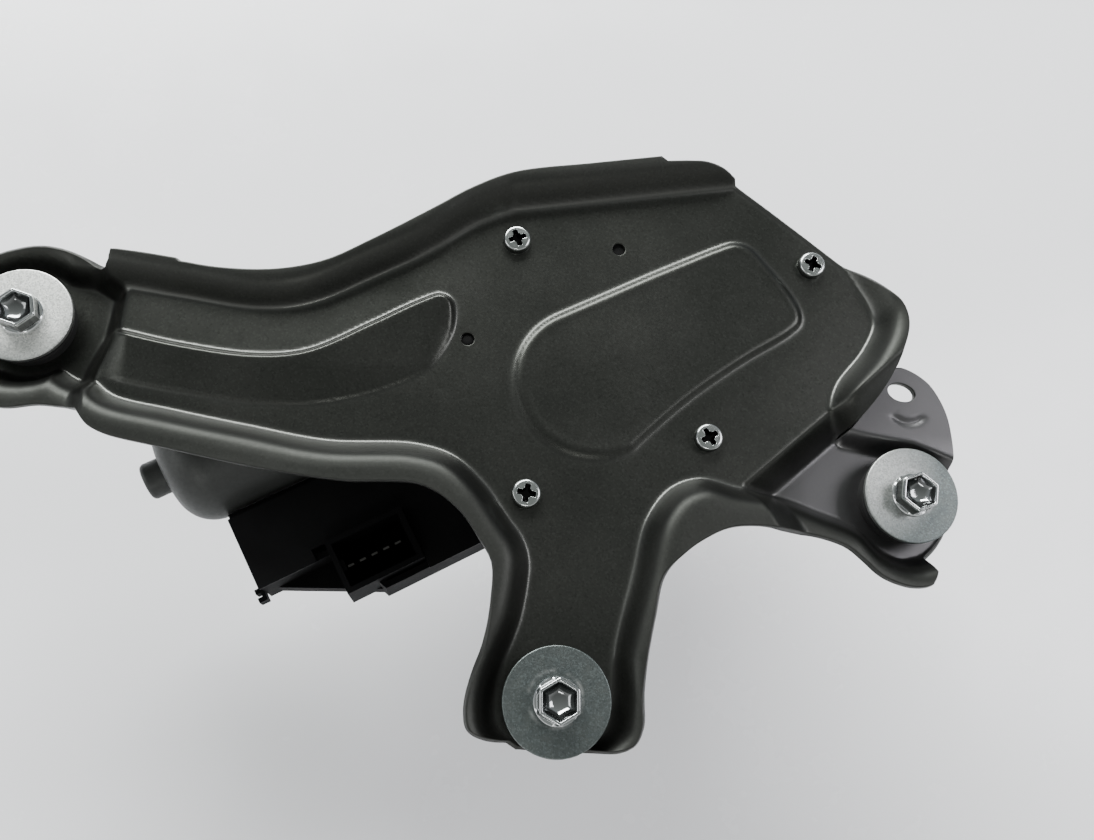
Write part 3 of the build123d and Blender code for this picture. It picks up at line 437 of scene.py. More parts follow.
def bent_points(rim_gap):
    """Raster points inside the sheet, closer together where it is bent."""
    bent = np.zeros_like(sheet_field)
    for f in fields:
        part = np.zeros_like(f)
        part[1:-1, 1:-1] = (np.abs(f[1:-1, 2:] + f[1:-1, :-2] - 2 * f[1:-1, 1:-1])
                            + np.abs(f[2:, 1:-1] + f[:-2, 1:-1] - 2 * f[1:-1, 1:-1])) / CELL ** 2
        bent = np.maximum(bent, part)
    near = bent.copy()
    for shift in ((0, 2), (0, -2), (2, 0), (-2, 0), (2, 2), (-2, -2)):
        near = np.maximum(near, np.roll(bent, shift, (0, 1)))
    far = bent.copy()
    for _ in range(3):
        for shift in ((0, 3), (0, -3), (3, 0), (-3, 0)):
            far = np.maximum(far, np.roll(far, shift, (0, 1)))
    iy, ix = np.mgrid[0:NY, 0:NX]
    pick = (ix % 8 == 0) & (iy % 8 == 0)
    pick |= (ix % 4 == 0) & (iy % 4 == 0) & (far > 0.01)
    pick |= (ix % 2 == 0) & (iy % 2 == 0) & (near > 0.05)
    pick |= ((ix + iy) % 2 == 0) & (bent > 0.34)
    pick &= rim_gap < -(EDGE + 1.25)
    for h in holes:
        c = h.mean(0)
        pick &= np.hypot(mx - c[0], my - c[1]) > np.abs(h - c).max() + EDGE + 1.8
    return np.stack([mx[pick], my[pick]], 1)


def triangulate(rim):
    """Plan points and triangles of the sheet's face, which ends one rounding short of the
    cut edges."""
    edges, points = [], []
    for loop, out in [(rim, outward(rim))] + [(h, -outward(h)) for h in holes]:
        start, count = len(points), len(loop)
        points += (loop - out * EDGE).tolist()
        edges += [(start + i, start + (i + 1) % count) for i in range(count)]
    rim_gap = signed_distance(rim)

    def clear_of_rim(row):
        return row[look_up(rim_gap, row[:, 0], row[:, 1]) < -(EDGE + 0.7)].tolist()

    points += clear_of_rim(rim - outward(rim) * (EDGE + 0.9)) + bent_points(rim_gap).tolist()
    for h in holes:
        for by in (0.3, 0.75, 1.4):
            points += clear_of_rim(h + outward(h) * (EDGE + by))
    verts, _, tris, _, _, _ = delaunay_2d_cdt([Vector(p) for p in points], edges, [], 0, 1e-7)
    xy = np.array([(v.x, v.y) for v in verts])
    tri = np.array([t for t in tris if len(t) == 3])
    mid = xy[tri].mean(1)
    good = in_loop(rim - outward(rim) * EDGE, mid[:, 0], mid[:, 1])
    for h in holes:
        good &= ~in_loop(h + outward(h) * EDGE, mid[:, 0], mid[:, 1])
    tri = tri[good]
    a, b, c = xy[tri[:, 0]], xy[tri[:, 1]], xy[tri[:, 2]]
    area = (b[:, 0] - a[:, 0]) * (c[:, 1] - a[:, 1]) - (b[:, 1] - a[:, 1]) * (c[:, 0] - a[:, 0])
    tri[area < 0] = tri[area < 0][:, ::-1]
    tri = tri[np.abs(area) > 1e-9]
    used, order = np.unique(tri, return_inverse=True)
    return xy[used], order.reshape(tri.shape)


def border_rings(tri):
    """Closed rings of point numbers along the borders of the triangles."""
    half = dict.fromkeys((t[i], t[(i + 1) % 3]) for t in tri for i in range(3))
    onward = {a: b for a, b in half if (b, a) not in half}
    rings, done = [], set()
    for first in onward:
        if first in done:
            continue
        ring = [first]
        while onward[ring[-1]] != first:
            ring.append(onward[ring[-1]])
        done.update(ring)
        rings.append(ring)
    return rings


def edge_loops(p, up):
    """Points and normals of the four loops that take a cut edge from the outer face to the
    under side, with both corners rounded."""
    d = np.roll(p[:, :2], -1, axis=0) - np.roll(p[:, :2], 1, axis=0)
    d /= np.maximum(np.linalg.norm(d, axis=1), 1e-9)[:, None]
    side = np.column_stack([d[:, 1], -d[:, 0], np.zeros(len(p))])
    side -= np.sum(side * up, axis=1)[:, None] * up
    side /= np.linalg.norm(side, axis=1)[:, None]
    drop = EDGE * (1 - math.cos(math.radians(45)))
    loops = []
    for out_by, down_by, lean in ((EDGE * 0.71, drop, 0.7), (EDGE, EDGE, 0.0),
                                  (EDGE, SHEET - EDGE, 0.0), (EDGE * 0.71, SHEET - drop, -0.7)):
        normal = side + up * lean
        loops.append((p + side * out_by - up * down_by,
                      normal / np.linalg.norm(normal, axis=1)[:, None]))
    return loops


def steel_marks(co, top, normal, wing, on_edge):
    """What the steel's finish needs at each point: rubbed bends and edges (wear), painted
    highlight on the inner creases and on the right ear, the flanges (lip), darkened a little as
    painted shade, and more painted shade on those that face +Y."""
    n = len(top)
    x, y, z = top.T
    bend = np.zeros(n)
    for f, use in zip(fields, (~wing, wing)):
        curve = np.zeros_like(f)
        curve[1:-1, 1:-1] = (f[1:-1, 2:] + f[1:-1, :-2] + f[2:, 1:-1] + f[:-2, 1:-1]
                             - 4 * f[1:-1, 1:-1]) / CELL ** 2
        bend[use] = look_up(blur(curve, 0.45), x[use], y[use])
    marks = {name: np.zeros(len(co)) for name in ("wear", "crease_highlight", "painted_sheen", "lip", "window_side_shade")}
    wear = marks["wear"]
    wear[:n] = np.clip(-bend * 1.3, 0, 1) * 0.7
    wear[:n][on_edge] = 0.8
    wear[2 * n:] = 1.0
    for h in small_holes:
        c = h.mean(0)
        wear[np.hypot(co[:, 0] - c[0], co[:, 1] - c[1]) < np.abs(h - c).max() + 1.0] *= 0.25
    # Painted highlight: concave creases are lightened where light catches them.
    marks["crease_highlight"][:n] = np.clip(bend * 1.1, 0, 1)
    # Painted highlight: the right ear's floor and the wing beyond it are lightened.
    marks["painted_sheen"][:n] = np.clip((-z - 3.0) / 4.0, 0, 1) * np.clip((x - 55) / 20, 0, 1)
    marks["painted_sheen"][:n][wing & (y > -9)] = 1.0
    # Flanges: rougher, and a little darker as painted shade that dims their highlight.
    lip = np.clip(look_up(crease_gap, x, y) / 4.0, 0, 1)
    marks["lip"][:n] = lip
    marks["lip"][n:] = 1.0
    # Painted shade: flanges whose slope faces +Y, towards the window, are darkened.
    marks["window_side_shade"][:n] = lip * np.clip(1.6 * normal[:, 1] / normal[:, 2], 0, 1)
    return marks


def drawn_in(values, start, limit):
    """Values past `start` are scaled so that the farthest of them lands on `limit`."""
    way = math.copysign(1.0, limit - start)
    past = np.maximum((values - start) * way, 0)
    return values - way * past + way * past * abs(limit - start) / past.max()


def bracket_mesh():
    """The pressed sheet: outer face, under side and rounded cut edges."""
    xy, tri = triangulate(resample(true_outline(), 0.8))
    x, y = xy.T
    wing = in_loop(wing_zone, x, y)
    top = np.column_stack([xy, height_at(fields, wing, x, y)])
    normal = face_normals(fields, wing, x, y)
    # The under side is pushed in along softened normals, so that tight bends don't fold.
    soft = face_normals([blur(f, 2.0) for f in fields], wing, x, y)
    n = len(top)
    faces = [tuple(t) for t in tri] + [tuple(n + i for i in t[::-1]) for t in tri]
    coords, normals = [top, top - soft * SHEET], [normal, -soft]
    on_edge = np.zeros(n, bool)
    count = 2 * n
    for ring in border_rings(tri):
        on_edge[ring] = True
        m = len(ring)
        loops = [ring]
        for points, turned in edge_loops(top[ring], soft[ring]):
            coords.append(points)
            normals.append(turned)
            loops.append(range(count, count + m))
            count += m
        loops.append([n + i for i in ring])
        for upper, lower in zip(loops, loops[1:]):
            faces += [(upper[i], lower[i], lower[(i + 1) % m], upper[(i + 1) % m])
                      for i in range(m)]
    co = np.vstack(coords)
    # The foot and the wing end at the size of the CAD bracket.
    low, high = (np.array(corner) * 1000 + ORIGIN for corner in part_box("bracket"))
    co[:, 1] = drawn_in(co[:, 1], -78.0, low[1] + 0.05)
    co[:, 0] = drawn_in(co[:, 0], 112.0, high[0] - 0.05)
    mesh = bpy.data.meshes.new("bracket_shell")
    mesh.from_pydata(((co - ORIGIN) / 1000).tolist(), [], faces)
    mesh.update()
    for name, values in steel_marks(co, top, normal, wing, on_edge).items():
        attribute = mesh.attributes.new(name, "FLOAT", "POINT")
        attribute.data.foreach_set("value", values.astype(np.float32))
    mesh.polygons.foreach_set("use_smooth", [True] * len(mesh.polygons))
    mesh.normals_split_custom_set_from_vertices(np.vstack(normals).tolist())
    return mesh


# ---------------------------------------------------------------- turned and headed pieces
def lofted(rings):
    """Closed mesh data through rings of equal length, first ring at the bottom, its two
    ends shut by a fan to their middle points."""
    n = len(rings[0])
    co = [p for ring in rings for p in ring]
    faces = []
    for k in range(len(rings) - 1):
        a, b = k * n, (k + 1) * n
        faces += [(a + i, a + (i + 1) % n, b + (i + 1) % n, b + i) for i in range(n)]
    last = (len(rings) - 1) * n
    low, high = len(co), len(co) + 1
    co += [tuple(np.mean(rings[0], axis=0)), tuple(np.mean(rings[-1], axis=0))]
    faces += [(low, (i + 1) % n, i) for i in range(n)]
    faces += [(high, last + i, last + (i + 1) % n) for i in range(n)]
    return co, faces


def mesh_of(name, parts, sharp=40.0):
    """One mesh from several (points in mm, faces) lists, smooth but for edges over `sharp`."""
    co, faces = [], []
    for p, f in parts:
        start = len(co)
        co += [tuple((np.array(q, float) - ORIGIN) / 1000) for q in p]
        faces += [tuple(start + i for i in face) for face in f]
    mesh = bpy.data.meshes.new(name)
    mesh.from_pydata(co, [], faces)
    mesh.update()
    mesh.polygons.foreach_set("use_smooth", [True] * len(mesh.polygons))
    mesh.set_sharp_from_angle(angle=math.radians(sharp))
    return mesh


def shade_recess(mesh, shade_amounts):
    """Point attribute that tells the screw finish how much painted shade each point gets."""
    attribute = mesh.attributes.new("recess", "FLOAT", "POINT")
    attribute.data.foreach_set("value", [float(d) for d in shade_amounts])
    return mesh


def hole_shade_disc():
    """Black disc set in the small hole beside the rib: painted shade that makes the hole read
    deep.
    """
    angles = [2 * math.pi * i / 32 for i in range(32)]
    cx, cy = HOLE_BY_RIB
    rings = [[(cx + r * math.cos(a), cy + r * math.sin(a), h) for a in angles]
             for r, h in ((0.6, -1.95), (1.5, -1.95), (1.68, -1.8), (1.7, -1.0), (1.62, -0.82),
                          (1.4, -0.72), (0.7, -0.66))]
    return mesh_of("hole_shade_disc", [lofted(rings)])


def box_ledge():
    """Ledge along the connector box's wall that nearly meets the motor can."""
    along = np.array([math.cos(MOTOR_HEADING), math.sin(MOTOR_HEADING), 0.0])
    side = np.array([math.sin(MOTOR_HEADING), -math.cos(MOTOR_HEADING), 0.0])
    # Sideways from the motor axis, and up from it.
    section = [(18.9, -1.2), (21.2, -1.2), (21.2, 2.6), (19.5, 2.6), (19.1, 2.4), (18.9, 2.0)]
    rings = [[MOTOR_START + along * station + side * across + np.array([0, 0, up])
              for across, up in section] for station in (13.3, 27.5, 42.0, 56.5)]
    return mesh_of("box_ledge", [lofted(rings)])


def hexagon(angle, flats, sharpness=46):
    """Radius at an angle of a hexagon that wide over its flats, corners a little rounded."""
    total = sum(max(0.0, math.cos(angle - math.radians(60 * k + 30))) ** sharpness
                for k in range(6))
    return flats / 2 / total ** (1 / sharpness)


SEGMENTS = 96                     # round a bolt or a screw
BOLT_SEAT = 8.3                   # underside of a bolt's head above its ear's floor
BOLT_TURN = {"bottom": 30.0, "right": 20.0, "left": 42.0}


def ear_bolt(x, y, z, turn):
    """Flanged hexagon bolt whose head is dished: six walls run down into a round bowl."""
    under = z + BOLT_SEAT
    turn = math.radians(turn)
    angles = [2 * math.pi * i / SEGMENTS for i in range(SEGMENTS)]
    rings = []

    def ring(height, radius):
        """A ring of points `height` above the head's underside."""
        rings.append([(x + radius(a) * math.cos(a + turn), y + radius(a) * math.sin(a + turn),
                       under + height) for a in angles])

    def flat_ring(height, r):
        ring(height, lambda a: r)

    flat_ring(-30.0, 1.4)
    flat_ring(-30.0, 2.3)
    pitch, start, stop = 1.0, -29.6, -17.6
    steps = int((stop - start) * 8)
    for k in range(steps + 1):
        h = start + (stop - start) * k / steps
        fade = min(1.0, (stop - h) / 1.2, (h - start) / 0.8 + 0.15)

        def threaded(a, h=h, fade=fade):
            saw = abs(((h / pitch - a / (2 * math.pi)) % 1.0) * 2 - 1)
            return 2.7 + 0.29 * (2 * saw - 1) * fade
        ring(h, threaded)
    # Shank and flange, then the hexagon, its chamfered top and the dished wall inside it.
    for h, r in ((-17.4, 2.7), (-0.05, 2.7), (0.0, 5.6), (0.12, 5.9), (0.35, 6.0), (0.65, 5.95),
                 (0.86, 5.75)):
        flat_ring(h, r)
    ring(0.95, lambda a: hexagon(a, 10.25))
    ring(1.2, lambda a: hexagon(a, 10.0))
    for h, cap in ((3.6, 6.0), (4.2, 5.72), (4.7, 5.56), (5.1, 5.38)):
        ring(h, lambda a, cap=cap: min(hexagon(a, 10.0), cap))
    for h, flats in ((5.34, 9.78), (5.46, 9.5), (5.5, 9.2), (5.5, 8.7), (5.44, 8.45),
                     (5.25, 8.2)):
        ring(h, lambda a, flats=flats: hexagon(a, flats))
    for k in range(1, 13):
        t = k / 13
        h = 5.25 - 3.0 * (1 - (1 - t) ** 2.2) ** 0.75

        def bowl(a, t=t):
            flat_part = hexagon(a, 8.15)
            soft = min(1.0, t * 1.5) ** 1.2
            return (flat_part * (1 - soft) + 3.95 * soft) * (1 - t) ** 0.72
        ring(h, bowl)
    return lofted(rings)


def ear_bolts():
    """The three bolts, with painted shade inside the dish, deeper down and on the side away from
    the window, dark on the head's outer walls and slight on the rest.
    """
    mesh = mesh_of("ear_bolt_set", [ear_bolt(x, y, EAR_Z[ear], BOLT_TURN[ear])
                                    for ear, (x, y) in EARS.items()], 32.0)
    shade_amounts = []
    for v in mesh.vertices:
        p = np.array(v.co) * 1000 + ORIGIN
        ear = min(EARS, key=lambda e: math.hypot(p[0] - EARS[e][0], p[1] - EARS[e][1]))
        dx, dy = p[:2] - EARS[ear]
        up = p[2] - EAR_Z[ear] - BOLT_SEAT
        # Painted shade: deeper down the dish and on its side away from the window, dark on the
        # head's outer walls, slight elsewhere.
        if math.hypot(dx, dy) < 4.3 and up > 1.5:
            shade = min(max((5.3 - up) / 0.7, 0), 1) * (0.50 + 0.1 * dy)
        else:
            shade = 0.84 if 1.0 < up < 4.6 else 0.15
        shade_amounts.append(min(max(shade, 0.0), 0.93))
    return shade_recess(mesh, shade_amounts)


def lid_screw(x, y, turn):
    """Pan head screw: rounded rim, cross recess with sloping ends."""
    turn = math.radians(turn)
    angles = [2 * math.pi * i / SEGMENTS for i in range(SEGMENTS)]
    radii = [(1.0, -12.0), (1.7, -11.8), (2.0, -11.4), (2.0, 0.0), (3.75, 0.0), (3.85, 0.12),
             (3.85, 1.5), (3.81, 1.85), (3.70, 2.12), (3.52, 2.32), (3.3, 2.43), (3.05, 2.49)]
    radii += [(3.05 - 0.1 * k, 2.5 + 0.06 * (1 - (1 - k / 29) ** 2)) for k in range(1, 30)]

    def height(px, py, top):
        if top < 2.4:
            return top
        u, v = abs(px), abs(py)
        arm = max(min(u, v) - 0.66, (max(u, v) - 2.35) * 0.7)
        hub = math.hypot(px, py) - 1.3
        return top - 1.9 * min(max(0.10 - min(arm, hub), 0) / 0.42, 1.0)

    rings = []
    for r, top in radii:
        rings.append([(x + r * math.cos(a + turn), y + r * math.sin(a + turn),
                       height(r * math.cos(a), r * math.sin(a), top)) for a in angles])
    return lofted(rings)


def lid_screws():
    """The four screws, with painted shade in their cross recess."""
    mesh = mesh_of("lid_screw_set", [lid_screw(x, y, 20 + 50 * n)
                                     for n, (x, y) in enumerate(SCREWS)], 50.0)
    shade_amounts = []
    for v in mesh.vertices:
        p = np.array(v.co) * 1000 + ORIGIN
        off = min(math.hypot(p[0] - x, p[1] - y) for x, y in SCREWS)
        # Painted shade in each cross recess, darker the deeper it goes.
        shade_amounts.append(min(max((2.42 - p[2]) / 0.5, 0), 1) if off < 3.0 and p[2] > 0 else 0.0)
    return shade_recess(mesh, shade_amounts)


# ---------------------------------------------------------------- materials
def new_material(name):
    """Material, node tree, shader and object coordinates."""
    m = bpy.data.materials.new(name)
    m.use_nodes = True
    tree = m.node_tree
    shader = tree.nodes["Principled BSDF"]
    coords = tree.nodes.new("ShaderNodeTexCoord")
    return m, tree, shader, coords.outputs["Object"]


def noise(tree, where, scale, detail=3.0, rough=0.55):
    n = tree.nodes.new("ShaderNodeTexNoise")
    n.inputs["Scale"].default_value = scale
    n.inputs["Detail"].default_value = detail
    n.inputs["Roughness"].default_value = rough
    tree.links.new(where, n.inputs["Vector"])
    return n.outputs["Fac"]


def cells(tree, where, scale):
    """Three values between 0 and 1 that are the same all over each grain."""
    voronoi = tree.nodes.new("ShaderNodeTexVoronoi")
    voronoi.inputs["Scale"].default_value = scale
    tree.links.new(where, voronoi.inputs["Vector"])
    split = tree.nodes.new("ShaderNodeSeparateColor")
    tree.links.new(voronoi.outputs["Color"], split.inputs["Color"])
    return split.outputs


def spread(tree, value, low, high, out_low=0.0, out_high=1.0):
    """A value's range taken to another range, clamped."""
    r = tree.nodes.new("ShaderNodeMapRange")
    r.inputs["From Min"].default_value = low
    r.inputs["From Max"].default_value = high
    r.inputs["To Min"].default_value = out_low
    r.inputs["To Max"].default_value = out_high
    tree.links.new(value, r.inputs["Value"])
    return r.outputs["Result"]


def math_node(tree, op, a, b=0.0):
    n = tree.nodes.new("ShaderNodeMath")
    n.operation = op
    for i, v in enumerate((a, b)):
        if isinstance(v, (int, float)):
            n.inputs[i].default_value = v
        else:
            tree.links.new(v, n.inputs[i])
    return n.outputs[0]


def mix(tree, factor, a, b):
    """Colour between two colours or colour sockets."""
    n = tree.nodes.new("ShaderNodeMix")
    n.data_type = "RGBA"
    if isinstance(factor, (int, float)):
        n.inputs["Factor"].default_value = factor
    else:
        tree.links.new(factor, n.inputs["Factor"])
    for key, v in (("A", a), ("B", b)):
        socket = [s for s in n.inputs if s.name == key and s.type == "RGBA"][0]
        if isinstance(v, tuple):
            socket.default_value = (*v, 1.0)
        else:
            tree.links.new(v, socket)
    return [s for s in n.outputs if s.type == "RGBA"][0]


def attribute(tree, name):
    n = tree.nodes.new("ShaderNodeAttribute")
    n.attribute_name = name
    return n.outputs["Fac"]


def bump(tree, shader, height, strength, distance):
    n = tree.nodes.new("ShaderNodeBump")
    n.inputs["Strength"].default_value = strength
    n.inputs["Distance"].default_value = distance
    tree.links.new(height, n.inputs["Height"])
    tree.links.new(n.outputs["Normal"], shader.inputs["Normal"])


def surface_material(name, colour, rough=0.4, metallic=0.0, vary=0.12, grain=900.0,
                     grain_amount=0.15, bump_amount=0.15, bump_size=0.0001, patch=60.0,
                     second=None, specular=0.5, speckle=0.0):
    """Colour with broad patches and fine grain, and roughness and bump from the same grain."""
    m, tree, shader, where = new_material(name)
    broad = noise(tree, where, patch, 3.0)
    fine = noise(tree, where, grain, 4.0, 0.65)
    dark = tuple(c * (1 - vary) for c in colour)
    light = tuple(min(c * (1 + vary), 1) for c in (second or colour))
    tone = mix(tree, spread(tree, broad, 0.3, 0.7), dark, light)
    tone = mix(tree, math_node(tree, "MULTIPLY", spread(tree, fine, 0.35, 0.65), grain_amount),
               tone, tuple(c * 0.45 for c in colour))
    if speckle:
        pick = spread(tree, cells(tree, where, grain * 1.4)[0], 0.72, 1.0, 0.0, speckle)
        tone = mix(tree, pick, tone, tuple(min(c * 1.9, 1) for c in colour))
    tree.links.new(tone, shader.inputs["Base Color"])
    r = math_node(tree, "ADD", spread(tree, fine, 0.3, 0.7, rough - 0.06, rough + 0.06),
                  spread(tree, broad, 0.3, 0.7, -0.04, 0.05))
    tree.links.new(r, shader.inputs["Roughness"])
    shader.inputs["Metallic"].default_value = metallic
    shader.inputs["Specular IOR Level"].default_value = specular
    bump(tree, shader, fine, bump_amount, bump_size)
    return m


def bracket_material():
    """Satin pressed steel: fine speckle, greyer and brighter where it is bent and rubbed.
    Painted highlight lightens its creases and right ear, and painted shade darkens its flanges.
    """
    m, tree, shader, where = new_material("bracket_steel")
    broad = noise(tree, where, 22.0, 4.0)
    mid = noise(tree, where, 160.0, 4.0, 0.6)
    fine = noise(tree, where, 1500.0, 3.0, 0.7)
    lip = attribute(tree, "lip")
    worn = math_node(tree, "MULTIPLY", attribute(tree, "wear"),
                     spread(tree, mid, 0.25, 0.7, 0.35, 1.0))
    tone = mix(tree, spread(tree, broad, 0.3, 0.7), (0.034, 0.036, 0.032), (0.042, 0.043, 0.039))
    tone = mix(tree, spread(tree, mid, 0.35, 0.75, 0.0, 0.25), tone, (0.028, 0.029, 0.026))
    grains = cells(tree, where, 1900.0)
    tone = mix(tree, spread(tree, grains[0], 0.6, 1.0, 0.0, 0.16), tone, (0.085, 0.09, 0.082))
    tone = mix(tree, spread(tree, grains[1], 0.75, 1.0, 0.0, 0.3), tone, (0.016, 0.017, 0.015))
    # Rubbed wear lightens; the other marks are painted light: shade on the flanges, more on
    # those facing +Y, and highlight on the creases and the right ear.
    for mask, amount, colour in ((worn, 0.6, (0.050, 0.051, 0.047)),
                                 (lip, 0.4, (0.026, 0.027, 0.025)),
                                 (attribute(tree, "window_side_shade"), 0.85, (0.012, 0.0125, 0.0115)),
                                 (attribute(tree, "crease_highlight"), 0.5, (0.105, 0.107, 0.101)),
                                 (attribute(tree, "painted_sheen"), 0.75, (0.104, 0.102, 0.105))):
        tone = mix(tree, math_node(tree, "MULTIPLY", mask, amount), tone, colour)
    tree.links.new(tone, shader.inputs["Base Color"])
    r = math_node(tree, "ADD", spread(tree, fine, 0.3, 0.7, 0.29, 0.35),
                  spread(tree, broad, 0.3, 0.7, -0.03, 0.05))
    r = math_node(tree, "ADD", r, math_node(tree, "MULTIPLY", lip, 0.13))
    tree.links.new(r, shader.inputs["Roughness"])
    shader.inputs["Metallic"].default_value = 0.9
    shader.inputs["Specular IOR Level"].default_value = 0.5
    height = math_node(tree, "ADD", math_node(tree, "MULTIPLY", mid, 0.6), fine)
    bump(tree, shader, height, 0.10, 0.0001)
    return m


def washer_material():
    """Zinc plate: fine glitter of cool and warm grains, rubbed lighter round each bolt, and a
    painted reflection that lightens the left washer and one side of the right one.
    """
    m, tree, shader, where = new_material("washer_zinc")
    shader.inputs["Metallic"].default_value = 0.85
    fine = noise(tree, where, 2400.0, 3.0, 0.7)
    mid = noise(tree, where, 260.0, 4.0, 0.6)
    grains = cells(tree, where, 2600.0)
    tone = mix(tree, spread(tree, mid, 0.35, 0.65), (0.094, 0.108, 0.106), (0.106, 0.119, 0.114))
    tone = mix(tree, spread(tree, grains[0], 0.55, 1.0, 0.0, 0.34), tone, (0.21, 0.25, 0.25))
    tone = mix(tree, spread(tree, grains[1], 0.7, 1.0, 0.0, 0.4), tone, (0.05, 0.06, 0.06))
    split = tree.nodes.new("ShaderNodeSeparateXYZ")
    tree.links.new(where, split.inputs["Vector"])
    px, py = split.outputs["X"], split.outputs["Y"]

    def near(ear, dx=0.0, dy=0.0):
        """Distance in plan from a bolt, or from a point beside it."""
        cx, cy = EARS[ear]
        u = math_node(tree, "SUBTRACT", px, (cx + dx - ORIGIN[0]) / 1000)
        v = math_node(tree, "SUBTRACT", py, (cy + dy - ORIGIN[1]) / 1000)
        return math_node(tree, "SQRT", math_node(tree, "ADD", math_node(tree, "MULTIPLY", u, u),
                                                 math_node(tree, "MULTIPLY", v, v)))

    # Painted reflection: the left washer is lightened nearly all over, the right one on the side
    # towards the pad.
    left = math_node(tree, "MULTIPLY", spread(tree, near("left", 1, 3), 0.010, 0.017, 1.0, 0.25),
                     spread(tree, near("left"), 0.016, 0.018, 1.0, 0.0))
    right = spread(tree, near("right", -11, 6), 0.003, 0.020, 0.42, 0.0)
    painted_reflection = math_node(tree, "MULTIPLY", math_node(tree, "MAXIMUM", left, right),
                     spread(tree, grains[2], 0.0, 0.8, 0.55, 1.0))
    tone = mix(tree, painted_reflection, tone, (0.90, 0.91, 0.87))
    for ear in EARS:
        off = math_node(tree, "ABSOLUTE",
                        math_node(tree, "SUBTRACT", near(ear, -0.5, 0.6), 0.0068))
        ring = math_node(tree, "MULTIPLY", spread(tree, off, 0.0, 0.0007, 0.5, 0.0),
                         spread(tree, mid, 0.4, 0.6))
        tone = mix(tree, ring, tone, (0.42, 0.43, 0.42))
    tree.links.new(tone, shader.inputs["Base Color"])
    tree.links.new(spread(tree, fine, 0.3, 0.7, 0.30, 0.44), shader.inputs["Roughness"])
    bump(tree, shader, math_node(tree, "ADD", grains[2], fine), 0.22, 0.00008)
    return m


def add_piece(name, mesh, body, material, replaces=()):
    """A piece on a body, with its finish and the CAD nodes that it stands in for."""
    o = bpy.data.objects.new(name, mesh)
    bpy.context.scene.collection.objects.link(o)
    mesh.materials.append(material)
    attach(o, body)
    if replaces:
        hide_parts(*replaces)


# Finish of each slot, where it differs from surface_material's own values.
FINISHES = {
    "bright_zinc": dict(colour=(0.46, 0.48, 0.48), rough=0.13, metallic=1.0, vary=0.06,
                        grain_amount=0.1, bump_amount=0.12, bump_size=5e-05, patch=90.0,
                        second=(0.5, 0.5, 0.48)),
    "die_cast_alloy": dict(colour=(0.33, 0.335, 0.33), rough=0.46, metallic=0.9, vary=0.1,
                           grain=700.0, grain_amount=0.25, bump_amount=0.4, bump_size=0.0002,
                           patch=40.0, speckle=0.2),
    # Painted shade: the can's steel is darkened for the bracket's shadow it lies in.
    "can_steel": dict(colour=(0.046, 0.048, 0.046), rough=0.46, metallic=0.35, vary=0.1,
                      grain_amount=0.2, bump_size=8e-05, patch=50.0, specular=0.2),
    "ferrite": dict(colour=(0.05, 0.05, 0.055), rough=0.7, vary=0.2, grain=1200.0,
                    grain_amount=0.4),
    "sintered_bronze": dict(colour=(0.42, 0.27, 0.14), rough=0.5, metallic=1.0, vary=0.15,
                            grain=1300.0, grain_amount=0.4, bump_amount=0.3),
    "black_plastic": dict(colour=(0.0042, 0.0042, 0.0044), rough=0.62, vary=0.25, grain=1500.0,
                          grain_amount=0.2, bump_amount=0.25, bump_size=0.00012, patch=50.0,
                          specular=0.04),
    "box_lid_plastic": dict(colour=(0.0042, 0.0042, 0.0044), rough=0.58, vary=0.25, grain=1500.0,
                            grain_amount=0.2, bump_amount=0.25, bump_size=0.00012, patch=50.0,
                            specular=0.08),
    "brown_plastic": dict(colour=(0.1, 0.045, 0.02), rough=0.45, vary=0.2),
    "board_plastic": dict(colour=(0.03, 0.12, 0.06), vary=0.2),
    "carbon": dict(colour=(0.03, 0.03, 0.03), rough=0.55, metallic=0.2, vary=0.2, grain=1200.0,
                   grain_amount=0.3),
    "spring_steel": dict(colour=(0.5, 0.5, 0.5), rough=0.25, metallic=1.0),
    "shaft_steel": dict(colour=(0.55, 0.55, 0.55), rough=0.22, metallic=1.0, vary=0.06,
                        grain=800.0, bump_amount=0.1, bump_size=5e-05),
    "lamination_steel": dict(colour=(0.3, 0.3, 0.31), rough=0.45, metallic=1.0),
    "copper_wire": dict(colour=(0.62, 0.25, 0.1), rough=0.3, metallic=1.0, vary=0.15),
    "copper_bar": dict(colour=(0.7, 0.34, 0.18), rough=0.25, metallic=1.0, vary=0.1),
    "wheel_plastic": dict(colour=(0.62, 0.6, 0.52), vary=0.05, grain_amount=0.1),
    "pressed_link_steel": dict(colour=(0.4, 0.39, 0.33), rough=0.35, metallic=1.0,
                               grain_amount=0.25),
    "sintered_steel": dict(colour=(0.22, 0.22, 0.22), rough=0.5, metallic=1.0, grain=1300.0,
                           grain_amount=0.35, bump_amount=0.3, bump_size=0.00015),
    # Painted shade: the connector's tinned pins are darkened for the shaded socket they sit in.
    "tinned_brass": dict(colour=(0.1, 0.098, 0.092), rough=0.42, metallic=1.0, vary=0.06),
    "black_rubber": dict(colour=(0.012, 0.012, 0.012), rough=0.62, vary=0.25, grain=1100.0,
                         grain_amount=0.25, bump_amount=0.35, bump_size=0.00015),
}
MATERIALS = {name: surface_material(name, **look) for name, look in FINISHES.items()}
MATERIALS["washer_zinc"] = washer_material()
# Near-black finish for painted shade, on the disc beside the rib and on the dowel's end.
DARK = surface_material("painted_shade_black", (0.003, 0.003, 0.003), rough=0.7, vary=0.2,
                        grain_amount=0.2, specular=0.08)


